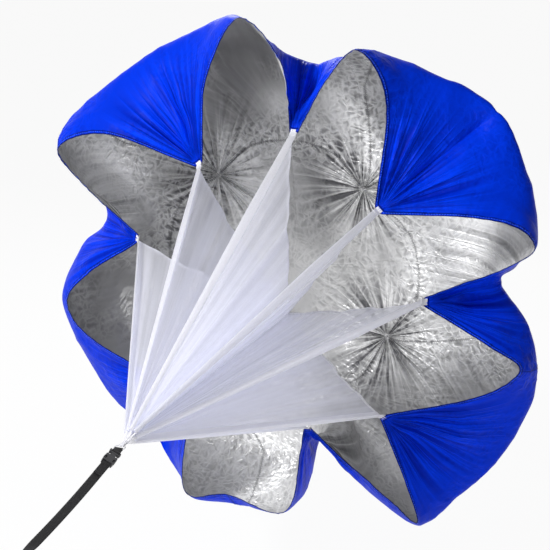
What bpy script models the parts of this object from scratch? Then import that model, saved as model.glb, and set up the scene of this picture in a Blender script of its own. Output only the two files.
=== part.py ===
"""Speed parachute: a coated taffeta canopy of five sewn panels, eight hem tabs, eight net fins, and the
tether line with its D-ring, webbing keeper, side-release buckle, strap and belt loop.

The middle of the belt loop's inner face is the origin. The tether runs from it along +Y and rises a little,
and the canopy flies level behind it, with its mouth towards -Y. Lengths are metres and angles are degrees.
"""
import math

import bmesh
import bpy
import numpy as np
from mathutils import Matrix, Vector

# Clearance between pieces that touch on the real object, and the overrun of every cut
seat_gap = 0.0003
cut_overrun = 0.002

# Tether line: level at the belt loop, then curved up to its pitch at the ring, and rolled about its length
line_level_run = 0.076
line_pitch_deg = 5.5
line_straight_run = 0.060
line_roll_run = 0.050
line_roll_deg = -28.0

# Black webbing of the tether
strap_width = 0.020
strap_thickness = 0.0014
strap_run = 0.450
strap_tail = 0.034
strap_ramp = 0.010
strap_step = 0.018

# Belt loop, sewn over the strap's end
belt_slot_length = 0.052
belt_slot_gap = 0.006
belt_loop_ramp = 0.012
belt_loop_overlap = 0.034

# Side-release buckle for the strap's width
buckle_width = 0.028
buckle_bar = 0.0036
buckle_slot = 0.0034
buckle_slot_side_clearance = 0.0008
buckle_edge_radius = 0.0011
socket_length = 0.031
socket_thickness = 0.0086
socket_cavity_height = 0.0046
socket_side_wall = 0.0018
socket_back_wall = 0.0025
window_start = 0.009
window_length = 0.0105
window_depth = 0.0060
mouth_lead_in = 0.0016
plug_frame_length = 0.0104
plug_frame_thickness = 0.0070
plug_neck_half_width = 0.0070
plug_neck_thickness = 0.0056
tongue_half_width = 0.0040
tongue_length = 0.0180
arm_width = 0.0026
arm_thickness = 0.0040
arm_side_clearance = 0.0004
arm_head_thickness = 0.0070
arm_head_inset = 0.0004
arm_head_proud = 0.0005
arm_tip_chamfer = 0.0018
arm_press_deg = 8.0

# Webbing keeper between the plug and the D-ring
keeper_thickness = 0.0012
keeper_length = 0.0165
keeper_sewn_length = 0.0040

# Steel D-ring
ring_wire = 0.0030
ring_half_width = 0.0120
ring_side_length = 0.0030
ring_corner_radius = 0.0025

# White webbing loop and the gathered stack of net corners that it holds
apex_loop_width = 0.010
apex_loop_thickness = 0.0009
apex_leg_length = 0.022
gather_width = 0.0092
gather_spread_start = 0.024
gather_end = 0.048
gather_core_radius = 0.0050
gather_pleat_radius = 0.0185
gather_pleat_half_angle_deg = 9.0
gather_half_spread_share = 0.42

# Canopy: sizes across and along the axis, measured from the middle of the mouth
net_length = 1.130
mouth_radius = 0.440
crown_seam_radius = 0.420
crown_mid_radius = 0.220
tip_depth = 0.040
front_depth = 0.078
belly_depth = 0.190
rear_depth = 0.320
crown_seam_depth = 0.400
crown_mid_depth = 0.452
crown_depth = 0.470
crown_shift_x = -0.150
crown_shift_z = -0.120
cloth_thickness = 0.0010
hem_thickness = 0.0022
hem_width = 0.012
front_bulge_share = 0.035
front_mix_share = 0.52
rear_mix_share = 0.68
hem_probe_share = 0.1

# Outline of the canopy, lobe by lobe, clockwise from the left as the mouth is seen from the strap. Each lobe has
# its first tab and three places on its free hem. Each place has the hem's angle and share of the mouth radius,
# then the angle and share of the widest ring behind it.
canopy_stations = (
    ((170.0, 1.09, 173.0, 1.53), (161.5, 1.58, 162.0, 1.865),
     (156.5, 1.85, 154.0, 1.935), (146.5, 1.59, 143.0, 1.855)),
    ((129.5, 0.97, 129.5, 1.79), (114.0, 1.43, 117.0, 1.75),
     (102.0, 1.75, 107.0, 1.715), (92.5, 1.43, 99.0, 1.50)),
    ((88.0, 1.02, 91.0, 1.42), (81.0, 1.36, 83.0, 1.44),
     (75.0, 1.61, 74.0, 1.53), (64.0, 1.40, 61.0, 1.60)),
    ((43.0, 0.82, 43.0, 1.74), (22.0, 1.46, 25.0, 1.65),
     (14.0, 1.64, 14.0, 1.57), (9.5, 1.41, 6.5, 1.44)),
    ((-1.0, 0.92, 0.5, 1.33), (-12.5, 1.37, -9.0, 1.55),
     (-16.0, 1.60, -18.0, 1.67), (-26.5, 1.45, -28.0, 1.78)),
    ((-52.0, 1.09, -43.0, 1.88), (-59.0, 1.61, -56.0, 1.95),
     (-61.5, 1.89, -65.0, 1.98), (-65.0, 1.65, -75.0, 1.68)),
    ((-82.0, 1.04, -83.0, 1.34), (-91.0, 1.73, -90.5, 1.77),
     (-106.0, 1.76, -103.0, 1.95), (-115.5, 1.88, -117.0, 2.03)),
    ((-129.0, 1.15, -130.0, 2.03), (-156.5, 1.60, -150.0, 1.94),
     (-167.0, 1.73, -166.0, 1.89), (-174.5, 1.51, -178.0, 1.71)),
)
free_hem_depth_shares = (0.75, 1.0, 0.75)
corner_seam_lobes = (0, 2, 4, 6)

# Folds that fan out of each tab
fold_height = 0.0045
folds_per_radian = 9.0
fold_start = 0.022
fold_full = 0.110
fold_fade = 0.240

# White tabs on the hem
tab_width = 0.020
tab_thickness = 0.0009
tab_on_cloth = 0.010
tab_on_net = 0.013
hem_straight_margin = 0.003
hem_straight_share = 0.07

# Net fins
net_thickness = 0.0008
net_hem_thickness = 0.0012
net_hem_width = 0.022
net_centre_offset = 0.0030
net_centre_x = 0.040
net_centre_y = 0.100
net_centre_z = -0.050
net_mouth_sag = 0.020
net_apex_radius_share = 0.92
net_first_column_share = 0.25

# Facets
free_columns_per_lobe = 16
rows_on_side = 8
rows_on_crown = 4
net_columns = 5
net_rows = 8

LOBES = len(canopy_stations)
ROLL = math.radians(line_roll_deg)


def clear_scene():
    for item in list(bpy.data.objects):
        bpy.data.objects.remove(item, do_unlink=True)


def material(name, colour, roughness, metallic=0.0):
    made = bpy.data.materials.new(name)
    made.use_nodes = True
    shader = made.node_tree.nodes["Principled BSDF"]
    shader.inputs["Base Color"].default_value = (*colour, 1.0)
    shader.inputs["Roughness"].default_value = roughness
    shader.inputs["Metallic"].default_value = metallic
    made.diffuse_color = (*colour, 1.0)
    return made


def mesh_object(name, points, faces, finish, parent=None):
    """An object from points and faces, with its faces turned outwards."""
    mesh = bpy.data.meshes.new(name)
    mesh.from_pydata([tuple(map(float, point)) for point in points], [], faces)
    mesh.materials.append(finish)
    made = bpy.data.objects.new(name, mesh)
    bpy.context.scene.collection.objects.link(made)
    made.parent = parent
    shell = bmesh.new()
    shell.from_mesh(mesh)
    bmesh.ops.recalc_face_normals(shell, faces=shell.faces)
    shell.to_mesh(mesh)
    shell.free()
    return made


def empty(name, matrix):
    made = bpy.data.objects.new(name, None)
    bpy.context.scene.collection.objects.link(made)
    made.matrix_world = matrix
    return made


def smooth(item, angle_deg=35.0):
    item.data.shade_smooth()
    item.data.set_sharp_from_angle(angle=math.radians(angle_deg))


def bevel(item, width, segments=2):
    cut = item.modifiers.new("rounded_edges", "BEVEL")
    cut.width = width
    cut.segments = segments
    cut.limit_method = "ANGLE"
    cut.angle_limit = math.radians(40.0)


def boolean(item, other, operation):
    step = item.modifiers.new(other.name, "BOOLEAN")
    step.operation = operation
    step.solver = "EXACT"
    step.object = other
    other.hide_render = True
    other.display_type = "WIRE"


def block(name, low, high, finish, parent=None):
    """A box between two corners."""
    points = [(x, y, z) for x in (low[0], high[0]) for y in (low[1], high[1]) for z in (low[2], high[2])]
    faces = [(0, 1, 3, 2), (4, 6, 7, 5), (0, 4, 5, 1), (2, 3, 7, 6), (0, 2, 6, 4), (1, 5, 7, 3)]
    return mesh_object(name, points, faces, finish, parent)


def prism(name, outline, low, high, finish, parent=None):
    """An outline in X and Y, extruded from one Z to another."""
    count = len(outline)
    points = [(x, y, z) for z in (low, high) for x, y in outline]
    faces = [tuple(range(count)), tuple(range(count, 2 * count))]
    for here in range(count):
        there = (here + 1) % count
        faces.append((here, there, count + there, count + here))
    return mesh_object(name, points, faces, finish, parent)


def arc(centre, radius, start_deg, end_deg, steps):
    """Points on an arc, both ends among them."""
    angles = np.radians(np.linspace(start_deg, end_deg, steps + 1))
    return [(centre[0] + radius * math.cos(a), centre[1] + radius * math.sin(a)) for a in angles]


def split_quad(quad, first_diagonal):
    """Two triangles of a quad, along its first diagonal or its second."""
    a, b, c, d = quad
    if first_diagonal:
        return [(a, b, c), (a, c, d)]
    return [(a, b, d), (b, c, d)]


def ribbon(name, path, thickness, width, finish, parent=None, place=None):
    """Webbing that follows a path in Y and Z, as one solid, with its width along X.

    place turns each point into its own place on a curved or twisted line. Both faces are split along the same
    diagonal, so that they stay apart where the webbing twists.
    """
    path = np.array(path, dtype=float)
    steps = np.diff(path, axis=0)
    steps /= np.linalg.norm(steps, axis=1)[:, None]
    before = np.vstack((steps[:1], steps))
    after = np.vstack((steps, steps[-1:]))
    mean = before + after
    mean /= np.linalg.norm(mean, axis=1)[:, None]
    side = np.stack((-mean[:, 1], mean[:, 0]), axis=1)
    reach = thickness / 2 / np.einsum("ij,ij->i", mean, after)
    points = []
    for (y, z), (side_y, side_z), offset in zip(path, side, reach):
        for sign in (1, -1):
            for x in (-width / 2, width / 2):
                corner = Vector((x, y + sign * side_y * offset, z + sign * side_z * offset))
                points.append(place(corner) if place else corner)
    order = (0, 1, 3, 2)
    faces = [order, tuple(4 * (len(path) - 1) + k for k in order)]
    for row in range(len(path) - 1):
        for here, there in zip(order, order[1:] + order[:1]):
            quad = (4 * row + here, 4 * row + there, 4 * row + 4 + there, 4 * row + 4 + here)
            faces += split_quad(quad, here == 0)
    made = mesh_object(name, points, faces, finish, parent)
    smooth(made, 50.0)
    return made


def sheet_normals(grid, closed=False):
    """Unit normals of a grid of points, by differences along both of its directions."""
    if closed:
        along = np.roll(grid, -1, axis=0) - np.roll(grid, 1, axis=0)
    else:
        along = np.gradient(grid, axis=0)
    across = np.gradient(grid, axis=1)
    normal = np.cross(along, across)
    return normal / np.linalg.norm(normal, axis=2)[:, :, None]


def sheet_solid(name, grid, normals, thickness, finish, parent=None):
    """A grid of points, thickened to both sides into one closed solid.

    Both faces are split along the same diagonal, so that the wall keeps its thickness where it is warped.
    """
    columns, rows = grid.shape[:2]
    offset = normals * (thickness / 2)[:, :, None]
    points = np.vstack(((grid + offset).reshape(-1, 3), (grid - offset).reshape(-1, 3)))
    half = columns * rows
    faces = []
    for i in range(columns - 1):
        for j in range(rows - 1):
            quad = (i * rows + j, i * rows + j + 1, (i + 1) * rows + j + 1, (i + 1) * rows + j)
            first = np.linalg.norm(grid[i, j] - grid[i + 1, j + 1])
            second = np.linalg.norm(grid[i, j + 1] - grid[i + 1, j])
            for triangle in split_quad(quad, first <= second):
                faces.append(triangle)
                faces.append(tuple(half + k for k in reversed(triangle)))
    rim = [i * rows for i in range(columns)]
    rim += [(columns - 1) * rows + j for j in range(1, rows)]
    rim += [i * rows + rows - 1 for i in range(columns - 2, -1, -1)]
    rim += list(range(rows - 2, 0, -1))
    for here, there in zip(rim, rim[1:] + rim[:1]):
        faces.append((here, there, half + there, half + here))
    made = mesh_object(name, points, faces, finish, parent)
    smooth(made, 60.0)
    return made


def polar(angle_deg, radius, depth):
    """A point at an angle and radius about the canopy's axis, at a depth behind the mouth."""
    turn = math.radians(angle_deg)
    return np.array((radius * math.cos(turn), depth, radius * math.sin(turn)))


def station(place):
    """The table's row at a place that counts four steps for each lobe."""
    place %= 4 * LOBES
    return canopy_stations[place // 4][place % 4]


def hem_station(place):
    angle_deg, share, _, _ = station(place)
    depth = 0.0 if place % 4 == 0 else tip_depth * free_hem_depth_shares[place % 4 - 1]
    return polar(angle_deg, mouth_radius * share, depth)


def belly_station(place):
    _, _, angle_deg, share = station(place)
    return polar(angle_deg, mouth_radius * share, belly_depth)


def tab_angle_deg(lobe):
    return station(4 * lobe)[0]


def tab_tangent(lobe):
    """Direction along the hem at a tab, towards the next tab."""
    turn = math.radians(tab_angle_deg(lobe))
    return np.array((math.sin(turn), 0.0, -math.cos(turn)))


def spline(knots, place):
    """A Catmull-Rom curve: place 0 is the second knot, and the last knot but one is its end."""
    index = min(int(math.floor(place)), len(knots) - 4)
    before, start, end, after = knots[index:index + 4]
    t = place - index
    return 0.5 * (2 * start + (end - before) * t + (2 * before - 5 * start + 4 * end - after) * t ** 2
                  + (3 * start - before - 3 * end + after) * t ** 3)


def tab_side(lobe, share):
    """Which tab a place on the hem lies under, and how far along the hem from its middle, or None."""
    reach = tab_width / 2 + hem_straight_margin
    if share <= hem_straight_share:
        return lobe, reach * share / hem_straight_share
    if share >= 1 - hem_straight_share:
        return lobe + 1, -reach * (1 - share) / hem_straight_share
    return None


def hem_point(lobe, share):
    """The hem: a straight run under each tab, and a curve through the stations between them."""
    under = tab_side(lobe, share)
    if under:
        return hem_station(4 * under[0]) + tab_tangent(under[0]) * under[1]
    knots = [hem_point(lobe, hem_straight_share)]
    knots += [hem_station(4 * lobe + step) for step in (1, 2, 3)]
    knots += [hem_point(lobe, 1 - hem_straight_share)]
    knots = [2 * knots[0] - knots[1]] + knots + [2 * knots[-1] - knots[-2]]
    return spline(knots, 4 * (share - hem_straight_share) / (1 - 2 * hem_straight_share))


def belly_point(lobe, share):
    place = 4 * (lobe + share)
    index = int(math.floor(place))
    return spline([belly_station(index + step) for step in (-1, 0, 1, 2)], place - index)


def crown_centre(depth):
    """The middle of the canopy's section at a depth, which leans with depth."""
    lean = depth / crown_depth
    return np.array((crown_shift_x * lean, depth, crown_shift_z * lean))


def front_point(hem, belly):
    """The cloth a short way behind the hem, blown out a little from the straight line to the widest ring."""
    outward = belly - crown_centre(belly_depth)
    front = hem + (belly - hem) * front_mix_share
    front += outward / np.linalg.norm(outward) * front_bulge_share * mouth_radius
    front[1] = front_depth + hem[1] / 2
    return front


def meridian_knots(lobe, share):
    """Points from the crown's middle to the hem, at one place round the canopy."""
    hem = hem_point(lobe, share)
    belly = belly_point(lobe, share)
    outward = belly - crown_centre(belly_depth)
    outward /= np.linalg.norm(outward)
    seam = crown_centre(crown_seam_depth) + outward * crown_seam_radius
    middle = crown_centre(crown_mid_depth) + outward * crown_mid_radius
    rear = seam + (belly - seam) * rear_mix_share
    rear[1] = rear_depth
    under = tab_side(lobe, share)
    if under:
        tab_hem = hem_point(under[0], 0.0)
        front = front_point(tab_hem, belly_point(under[0], 0.0)) + hem - tab_hem
    else:
        front = front_point(hem, belly)
    return [crown_centre(crown_depth), middle, seam, rear, belly, front, hem]


def canopy_point(lobe, share, place):
    """The cloth's middle surface without folds: place runs from 0 at the crown's middle to 6 at the hem."""
    knots = meridian_knots(lobe, share)
    return spline([2 * knots[0] - knots[1]] + knots + [2 * knots[-1] - knots[-2]], place)


def fold_offset(points):
    """How far the folds that fan out of the tabs lift the cloth."""
    lift = np.zeros(points.shape[:-1])
    clear = np.ones(points.shape[:-1])
    for lobe in range(LOBES):
        away = points - hem_station(4 * lobe)
        reach = np.linalg.norm(away, axis=-1)
        along = away @ tab_tangent(lobe)
        angle = np.arctan2(along, np.sqrt(np.maximum(reach ** 2 - along ** 2, 0.0)))
        clear *= np.clip((reach - fold_start) / (fold_full - fold_start), 0.0, 1.0)
        lift += fold_height * np.exp(-(reach / fold_fade) ** 2) * np.cos(folds_per_radian * angle)
    return lift * clear


def canopy_grid():
    """Points and normals of the whole canopy, column by column from the crown's middle ring to the hem."""
    inner = np.linspace(hem_straight_share, 1 - hem_straight_share, free_columns_per_lobe + 1)
    columns = []
    for lobe in range(LOBES):
        for share in [0.0, *inner]:
            hem_run = canopy_point(lobe, share, 6.0) - canopy_point(lobe, share, 6.0 - hem_probe_share)
            hem_step = np.linalg.norm(hem_run) / hem_probe_share
            rows = [*np.linspace(0.0, 2.0, rows_on_crown + 1)[1:],
                    *np.linspace(2.0, 6.0 - hem_width / hem_step, rows_on_side)[1:], 6.0]
            columns.append([canopy_point(lobe, share, row) for row in rows])
    grid = np.array(columns)
    normals = sheet_normals(grid, closed=True)
    grid = grid + normals * fold_offset(grid)[:, :, None]
    return grid, sheet_normals(grid, closed=True)


def draw_back(grid, row, inside, gap):
    """Move one row of a grid back from a seam, along the cloth."""
    step = grid[:, inside] - grid[:, row]
    grid[:, row] += step / np.linalg.norm(step, axis=1)[:, None] * gap


def side_panel(index, grid, normals, finish, parent):
    """One side panel, from corner seam to corner seam and from the crown seam to the hem."""
    lobe_columns = free_columns_per_lobe + 2
    first = corner_seam_lobes[index] * lobe_columns + lobe_columns // 2
    last = corner_seam_lobes[(index + 1) % len(corner_seam_lobes)] * lobe_columns + lobe_columns // 2
    count = (last - first) % (LOBES * lobe_columns) + 1
    chosen = [(first + step) % (LOBES * lobe_columns) for step in range(count)]
    points = grid[chosen, rows_on_crown - 1:].copy()
    draw_back(points, 0, 1, seat_gap / 2)
    turned = points.transpose(1, 0, 2)
    draw_back(turned, 0, 1, seat_gap / 2)
    draw_back(turned, -1, -2, seat_gap / 2)
    thickness = np.full(points.shape[:2], cloth_thickness)
    thickness[:, -2:] = hem_thickness
    name = f"side_panel_{index + 1}"
    return sheet_solid(name, points, normals[chosen, rows_on_crown - 1:], thickness, finish, parent)


def crown_panel(grid, normals, finish, parent):
    """The round panel at the back, with one point in its middle on each face."""
    points = grid[:, :rows_on_crown].copy()
    draw_back(points, -1, -2, seat_gap / 2)
    offset = normals[:, :rows_on_crown] * cloth_thickness / 2
    columns, rows = points.shape[:2]
    outward = np.array((0.0, math.copysign(cloth_thickness / 2, normals[0, 0, 1]), 0.0))
    corners = []
    for sign in (1, -1):
        corners += list((points + offset * sign).reshape(-1, 3))
        corners.append(crown_centre(crown_depth) + outward * sign)
    half = columns * rows + 1
    faces = []
    for i in range(columns):
        j = (i + 1) % columns
        for base in (0, half):
            faces.append((base + i * rows, base + j * rows, base + half - 1))
            for row in range(rows - 1):
                quad = (base + i * rows + row, base + i * rows + row + 1,
                        base + j * rows + row + 1, base + j * rows + row)
                faces += split_quad(quad, True)
        end = rows - 1
        faces.append((i * rows + end, j * rows + end, half + j * rows + end, half + i * rows + end))
    made = mesh_object("crown_panel", corners, faces, finish, parent)
    smooth(made, 60.0)
    return made


def tab_frame(lobe):
    """Directions at a tab: along the hem, and in its cross plane into the cloth and towards the apex."""
    hem = hem_station(4 * lobe)
    into_cloth = canopy_point(lobe, 0.0, 6.0 - 2 * hem_probe_share) - hem
    into_cloth /= np.linalg.norm(into_cloth)
    to_apex = np.array((0.0, -net_length, 0.0)) - hem
    to_apex /= np.linalg.norm(to_apex)
    radial = hem / np.linalg.norm(hem)
    return hem, tab_tangent(lobe), radial, into_cloth, to_apex


def hem_tab(lobe, finish, parent):
    """A folded webbing tab: both leaves lie on the hem, and the fold points to the apex."""
    hem, tangent, radial, into_cloth, to_apex = tab_frame(lobe)
    axis = np.array((0.0, 1.0, 0.0))

    def flat(vector):
        return np.array((vector @ axis, vector @ radial))

    cloth = flat(into_cloth)
    cloth /= np.linalg.norm(cloth)
    net = flat(to_apex)
    net /= np.linalg.norm(net)
    cloth_side = np.array((-cloth[1], cloth[0]))
    net_side = -np.array((-net[1], net[0]))
    off_cloth = hem_thickness / 2 + seat_gap + tab_thickness / 2
    off_net = net_hem_thickness / 2 + seat_gap + tab_thickness / 2
    bend = (cloth_side + net_side) / (1 + cloth_side @ net_side)
    path = []
    for sign in (1, -1):
        leaf = [cloth * tab_on_cloth + cloth_side * sign * off_cloth,
                bend * sign * off_cloth,
                net * (tab_on_net - off_net) + net_side * sign * off_net]
        path += leaf if sign == 1 else leaf[::-1]
    nose = net * (tab_on_net - off_net)
    fold = [nose + net * off_net * math.sin(turn) + net_side * off_net * math.cos(turn)
            for turn in np.radians((30.0, 60.0, 90.0, 120.0, 150.0))]
    half = len(path) // 2
    path = path[:half] + fold + path[half:]
    made = ribbon(f"hem_tab_{lobe + 1}", path, tab_thickness, tab_width, finish, parent)
    frame = Matrix.Identity(4)
    for row in range(3):
        frame[row][0] = tangent[row]
        frame[row][1] = axis[row]
        frame[row][2] = radial[row]
        frame[row][3] = hem[row]
    made.data.transform(frame)
    return made


def net_fin(lobe, gather_tip, finish, parent):
    """Half of a triangular net panel, from the centre seam out to one tab."""
    centre = np.array((net_centre_x, -net_centre_y, net_centre_z))
    hem, _, _, _, to_apex = tab_frame(lobe)
    corner = hem + to_apex * (tab_on_net + tab_thickness / 2 + seat_gap)
    start = np.array((0.0, gather_tip - net_length + seat_gap, 0.0))
    side = corner - centre
    line = centre - start
    line /= np.linalg.norm(line)
    side[1] = 0.0
    side /= np.linalg.norm(side)
    inner_start = start + side * net_centre_offset
    inner_end = centre + side * net_centre_offset
    outer_start = start + side * gather_pleat_radius * net_apex_radius_share
    columns = [0.0] + list(np.linspace(net_first_column_share, 1.0, net_columns))
    rows = list(np.linspace(0.0, 1.0, net_rows + 1))
    rows.insert(-1, 1 - net_hem_width / np.linalg.norm(corner - outer_start))
    grid = []
    thickness = []
    for share in columns:
        edge_start = inner_start + (outer_start - inner_start) * share
        edge_end = inner_end + (corner - inner_end) * share
        edge_end = edge_end - line * net_mouth_sag * 4 * share * (1 - share)
        grid.append([edge_start + (edge_end - edge_start) * row for row in rows])
        hemmed = [share == 1.0 or row > rows[-3] for row in rows]
        thickness.append([net_hem_thickness if folded else net_thickness for folded in hemmed])
    grid = np.array(grid)
    return sheet_solid(f"net_fin_{lobe + 1}", grid, sheet_normals(grid), np.array(thickness), finish, parent)


def net_gather(finish, parent):
    """The eight net corners, stacked flat inside the apex loop and pleated outwards towards the fins."""
    wire_clear = ring_wire / 2 + seat_gap * 2 + apex_loop_thickness
    flat_half = ring_wire / 2
    halfway = (gather_spread_start + gather_end) / 2
    sections = ((wire_clear, 0.0), (gather_spread_start, 0.0), (halfway, gather_half_spread_share),
                (gather_end, 1.0))
    count = 64
    points = []
    for distance, spread in sections:
        for k in range(count):
            turn = 2 * math.pi * k / count
            stretch = (abs(math.cos(turn)) ** 4 + abs(math.sin(turn)) ** 4) ** -0.25
            flat = np.array((gather_width / 2 * math.cos(turn), flat_half * math.sin(turn))) * stretch
            reach = gather_core_radius
            for lobe in range(LOBES):
                away = (math.degrees(turn) - tab_angle_deg(lobe) + 180.0) % 360.0 - 180.0
                pleat = math.exp(-(away / gather_pleat_half_angle_deg) ** 2)
                reach += (gather_pleat_radius - gather_core_radius) * pleat
            star = np.array((math.cos(turn), math.sin(turn))) * reach
            x, z = flat + (star - flat) * spread
            points.append((x, distance - net_length, z))
    faces = [tuple(range(count)), tuple(range((len(sections) - 1) * count, len(sections) * count))]
    for row in range(len(sections) - 1):
        for here in range(count):
            there = (here + 1) % count
            faces.append((row * count + here, row * count + there, (row + 1) * count + there,
                          (row + 1) * count + here))
    made = mesh_object("net_gather", points, faces, finish, parent)
    smooth(made)
    return made


def apex_loop(finish, parent):
    """White webbing folded round the ring's bow, with both legs on the stack of net corners."""
    inner_gap = ring_wire / 2 + seat_gap
    middle = inner_gap + apex_loop_thickness / 2
    sagitta = ring_half_width - math.sqrt(ring_half_width ** 2 - (apex_loop_width / 2) ** 2)
    nose = -sagitta
    legs_end = apex_leg_length
    path = [(legs_end, middle)]
    path += arc((nose, 0.0), middle, 90.0, 270.0, 10)
    path += [(legs_end, -middle)]
    path = [(y - net_length, z) for y, z in path]
    return ribbon("apex_loop", path, apex_loop_thickness, apex_loop_width, finish, parent)


def ring_outline():
    """The ring's centre line, from its bar's middle at the origin to its bow."""
    half = ring_half_width
    corner = ring_corner_radius
    bow_centre = ring_corner_radius + ring_side_length
    points = arc((-half + corner, corner), corner, 270.0, 180.0, 4)
    points += arc((0.0, bow_centre), half, 180.0, 0.0, 20)
    points += arc((half - corner, corner), corner, 0.0, -90.0, 4)
    return points


def d_ring(finish, matrix):
    """Bent and welded wire, as a closed round section along the ring's centre line."""
    curve = bpy.data.curves.new("d_ring", "CURVE")
    curve.dimensions = "3D"
    curve.bevel_depth = ring_wire / 2
    curve.bevel_resolution = 2
    outline = ring_outline()
    path = curve.splines.new("POLY")
    path.points.add(len(outline) - 1)
    for point, (x, y) in zip(path.points, outline):
        point.co = (x, y, 0.0, 1.0)
    path.use_cyclic_u = True
    curve.materials.append(finish)
    made = bpy.data.objects.new("d_ring", curve)
    bpy.context.scene.collection.objects.link(made)
    made.matrix_world = matrix
    return made


def tether_matrix(distance):
    """The strap's own frame, with Y along it and Z off its face, at a distance from the belt loop."""
    curved = strap_run - line_straight_run - line_level_run
    curvature = math.radians(line_pitch_deg) / curved
    turn = min(max(distance - line_level_run, 0.0), curved) * curvature
    beyond = max(distance - line_level_run - curved, 0.0)
    y = min(distance, line_level_run) + math.sin(turn) / curvature + beyond * math.cos(turn)
    z = belt_slot_gap / 2 + (1 - math.cos(turn)) / curvature + beyond * math.sin(turn)
    share = min(max((distance - line_level_run) / line_roll_run, 0.0), 1.0)
    roll = ROLL * share ** 2 * (3 - 2 * share)
    return Matrix.Translation((0.0, y, z)) @ Matrix.Rotation(turn, 4, "X") @ Matrix.Rotation(-roll, 4, "Y")


def on_tether(point):
    return tether_matrix(point.y) @ Vector((point.x, 0.0, point.z))


def belt_loop(finish):
    """Webbing folded into an eye for the waist belt, sewn over both faces of the strap's end."""
    eye = belt_slot_gap / 2 + strap_thickness / 2
    sewn = strap_thickness + seat_gap
    far = belt_slot_length / 2
    near = far + belt_loop_ramp
    end = near + belt_loop_overlap
    path = [(end, sewn), (near, sewn), (far, eye)]
    path += [(-y - far, z) for y, z in arc((0.0, 0.0), eye, 90.0, -90.0, 8)]
    path += [(far, -eye), (near, -sewn), (end, -sewn)]
    return ribbon("belt_loop", path, strap_thickness, strap_width, finish, place=on_tether)


def tether_strap(finish):
    """The strap, from inside the belt loop to the socket's bar, round the bar and back to its sewn tail."""
    wrap = buckle_bar / 2 + seat_gap + strap_thickness / 2
    tail = strap_thickness + seat_gap
    start = belt_slot_length / 2 + belt_loop_ramp + seat_gap
    end = strap_run - wrap - strap_ramp
    path = [(y, 0.0) for y in np.linspace(start, end, round((end - start) / strap_step) + 1)]
    path += [(strap_run - wrap / 2, -wrap)]
    path += [(strap_run + y, z) for y, z in arc((0.0, 0.0), wrap, -90.0, 90.0, 8)]
    path += [(strap_run - wrap / 2, wrap), (end, tail), (end - strap_tail, tail)]
    return ribbon("tether_strap", path, strap_thickness, strap_width, finish, place=on_tether)


def bar_cylinder(name, y, finish, parent, length):
    """A round bar across the buckle."""
    made = prism(name, arc((0.0, 0.0), buckle_bar / 2, 0.0, 337.5, 15), -length / 2, length / 2, finish)
    made.data.transform(Matrix.Translation((0.0, y, 0.0)) @ Matrix.Rotation(math.pi / 2, 4, "Y"))
    made.parent = parent
    return made


def buckle_socket(finish, parent):
    """The socket, from its bar at y = 0 to its mouth, with an open cavity and a window on each side."""
    half = buckle_width / 2
    bar_near = -buckle_bar / 2
    mouth = bar_near + socket_length
    body_start = buckle_bar / 2 + buckle_slot
    thick = socket_thickness / 2
    waist = half - buckle_edge_radius
    outline = [(-half, body_start), (-waist, bar_near), (waist, bar_near), (half, body_start), (half, mouth),
               (-half, mouth)]
    body = prism("buckle_socket", outline, -thick, thick, finish, parent)
    bevel(body, buckle_edge_radius)
    slot_half = strap_width / 2 + buckle_slot_side_clearance
    over = socket_thickness
    slot = block("socket_slot_cut", (-slot_half, -buckle_bar, -over), (slot_half, body_start, over), finish,
                 parent)
    boolean(body, slot, "DIFFERENCE")
    bar = bar_cylinder("socket_bar_form", 0.0, finish, parent, buckle_width - 2 * buckle_edge_radius)
    boolean(body, bar, "UNION")
    cavity_half = half - socket_side_wall
    height = socket_cavity_height / 2
    cavity_end = body_start + socket_back_wall
    flared_half = cavity_half + socket_side_wall / 3
    flare_start = mouth - mouth_lead_in
    flare_end = mouth + cut_overrun
    cavity = [(-cavity_half, cavity_end), (cavity_half, cavity_end), (cavity_half, flare_start),
              (flared_half, flare_end), (-flared_half, flare_end), (-cavity_half, flare_start)]
    boolean(body, prism("socket_cavity_cut", cavity, -height, height, finish, parent), "DIFFERENCE")
    for name, sign in (("left", -1), ("right", 1)):
        inner = sign * (half - window_depth)
        outer = sign * (half + cut_overrun)
        window = block(f"socket_window_cut_{name}",
                       (min(inner, outer), mouth - window_start - window_length, -over),
                       (max(inner, outer), mouth - window_start, over), finish, parent)
        boolean(body, window, "DIFFERENCE")
    smooth(body)
    return body


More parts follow.
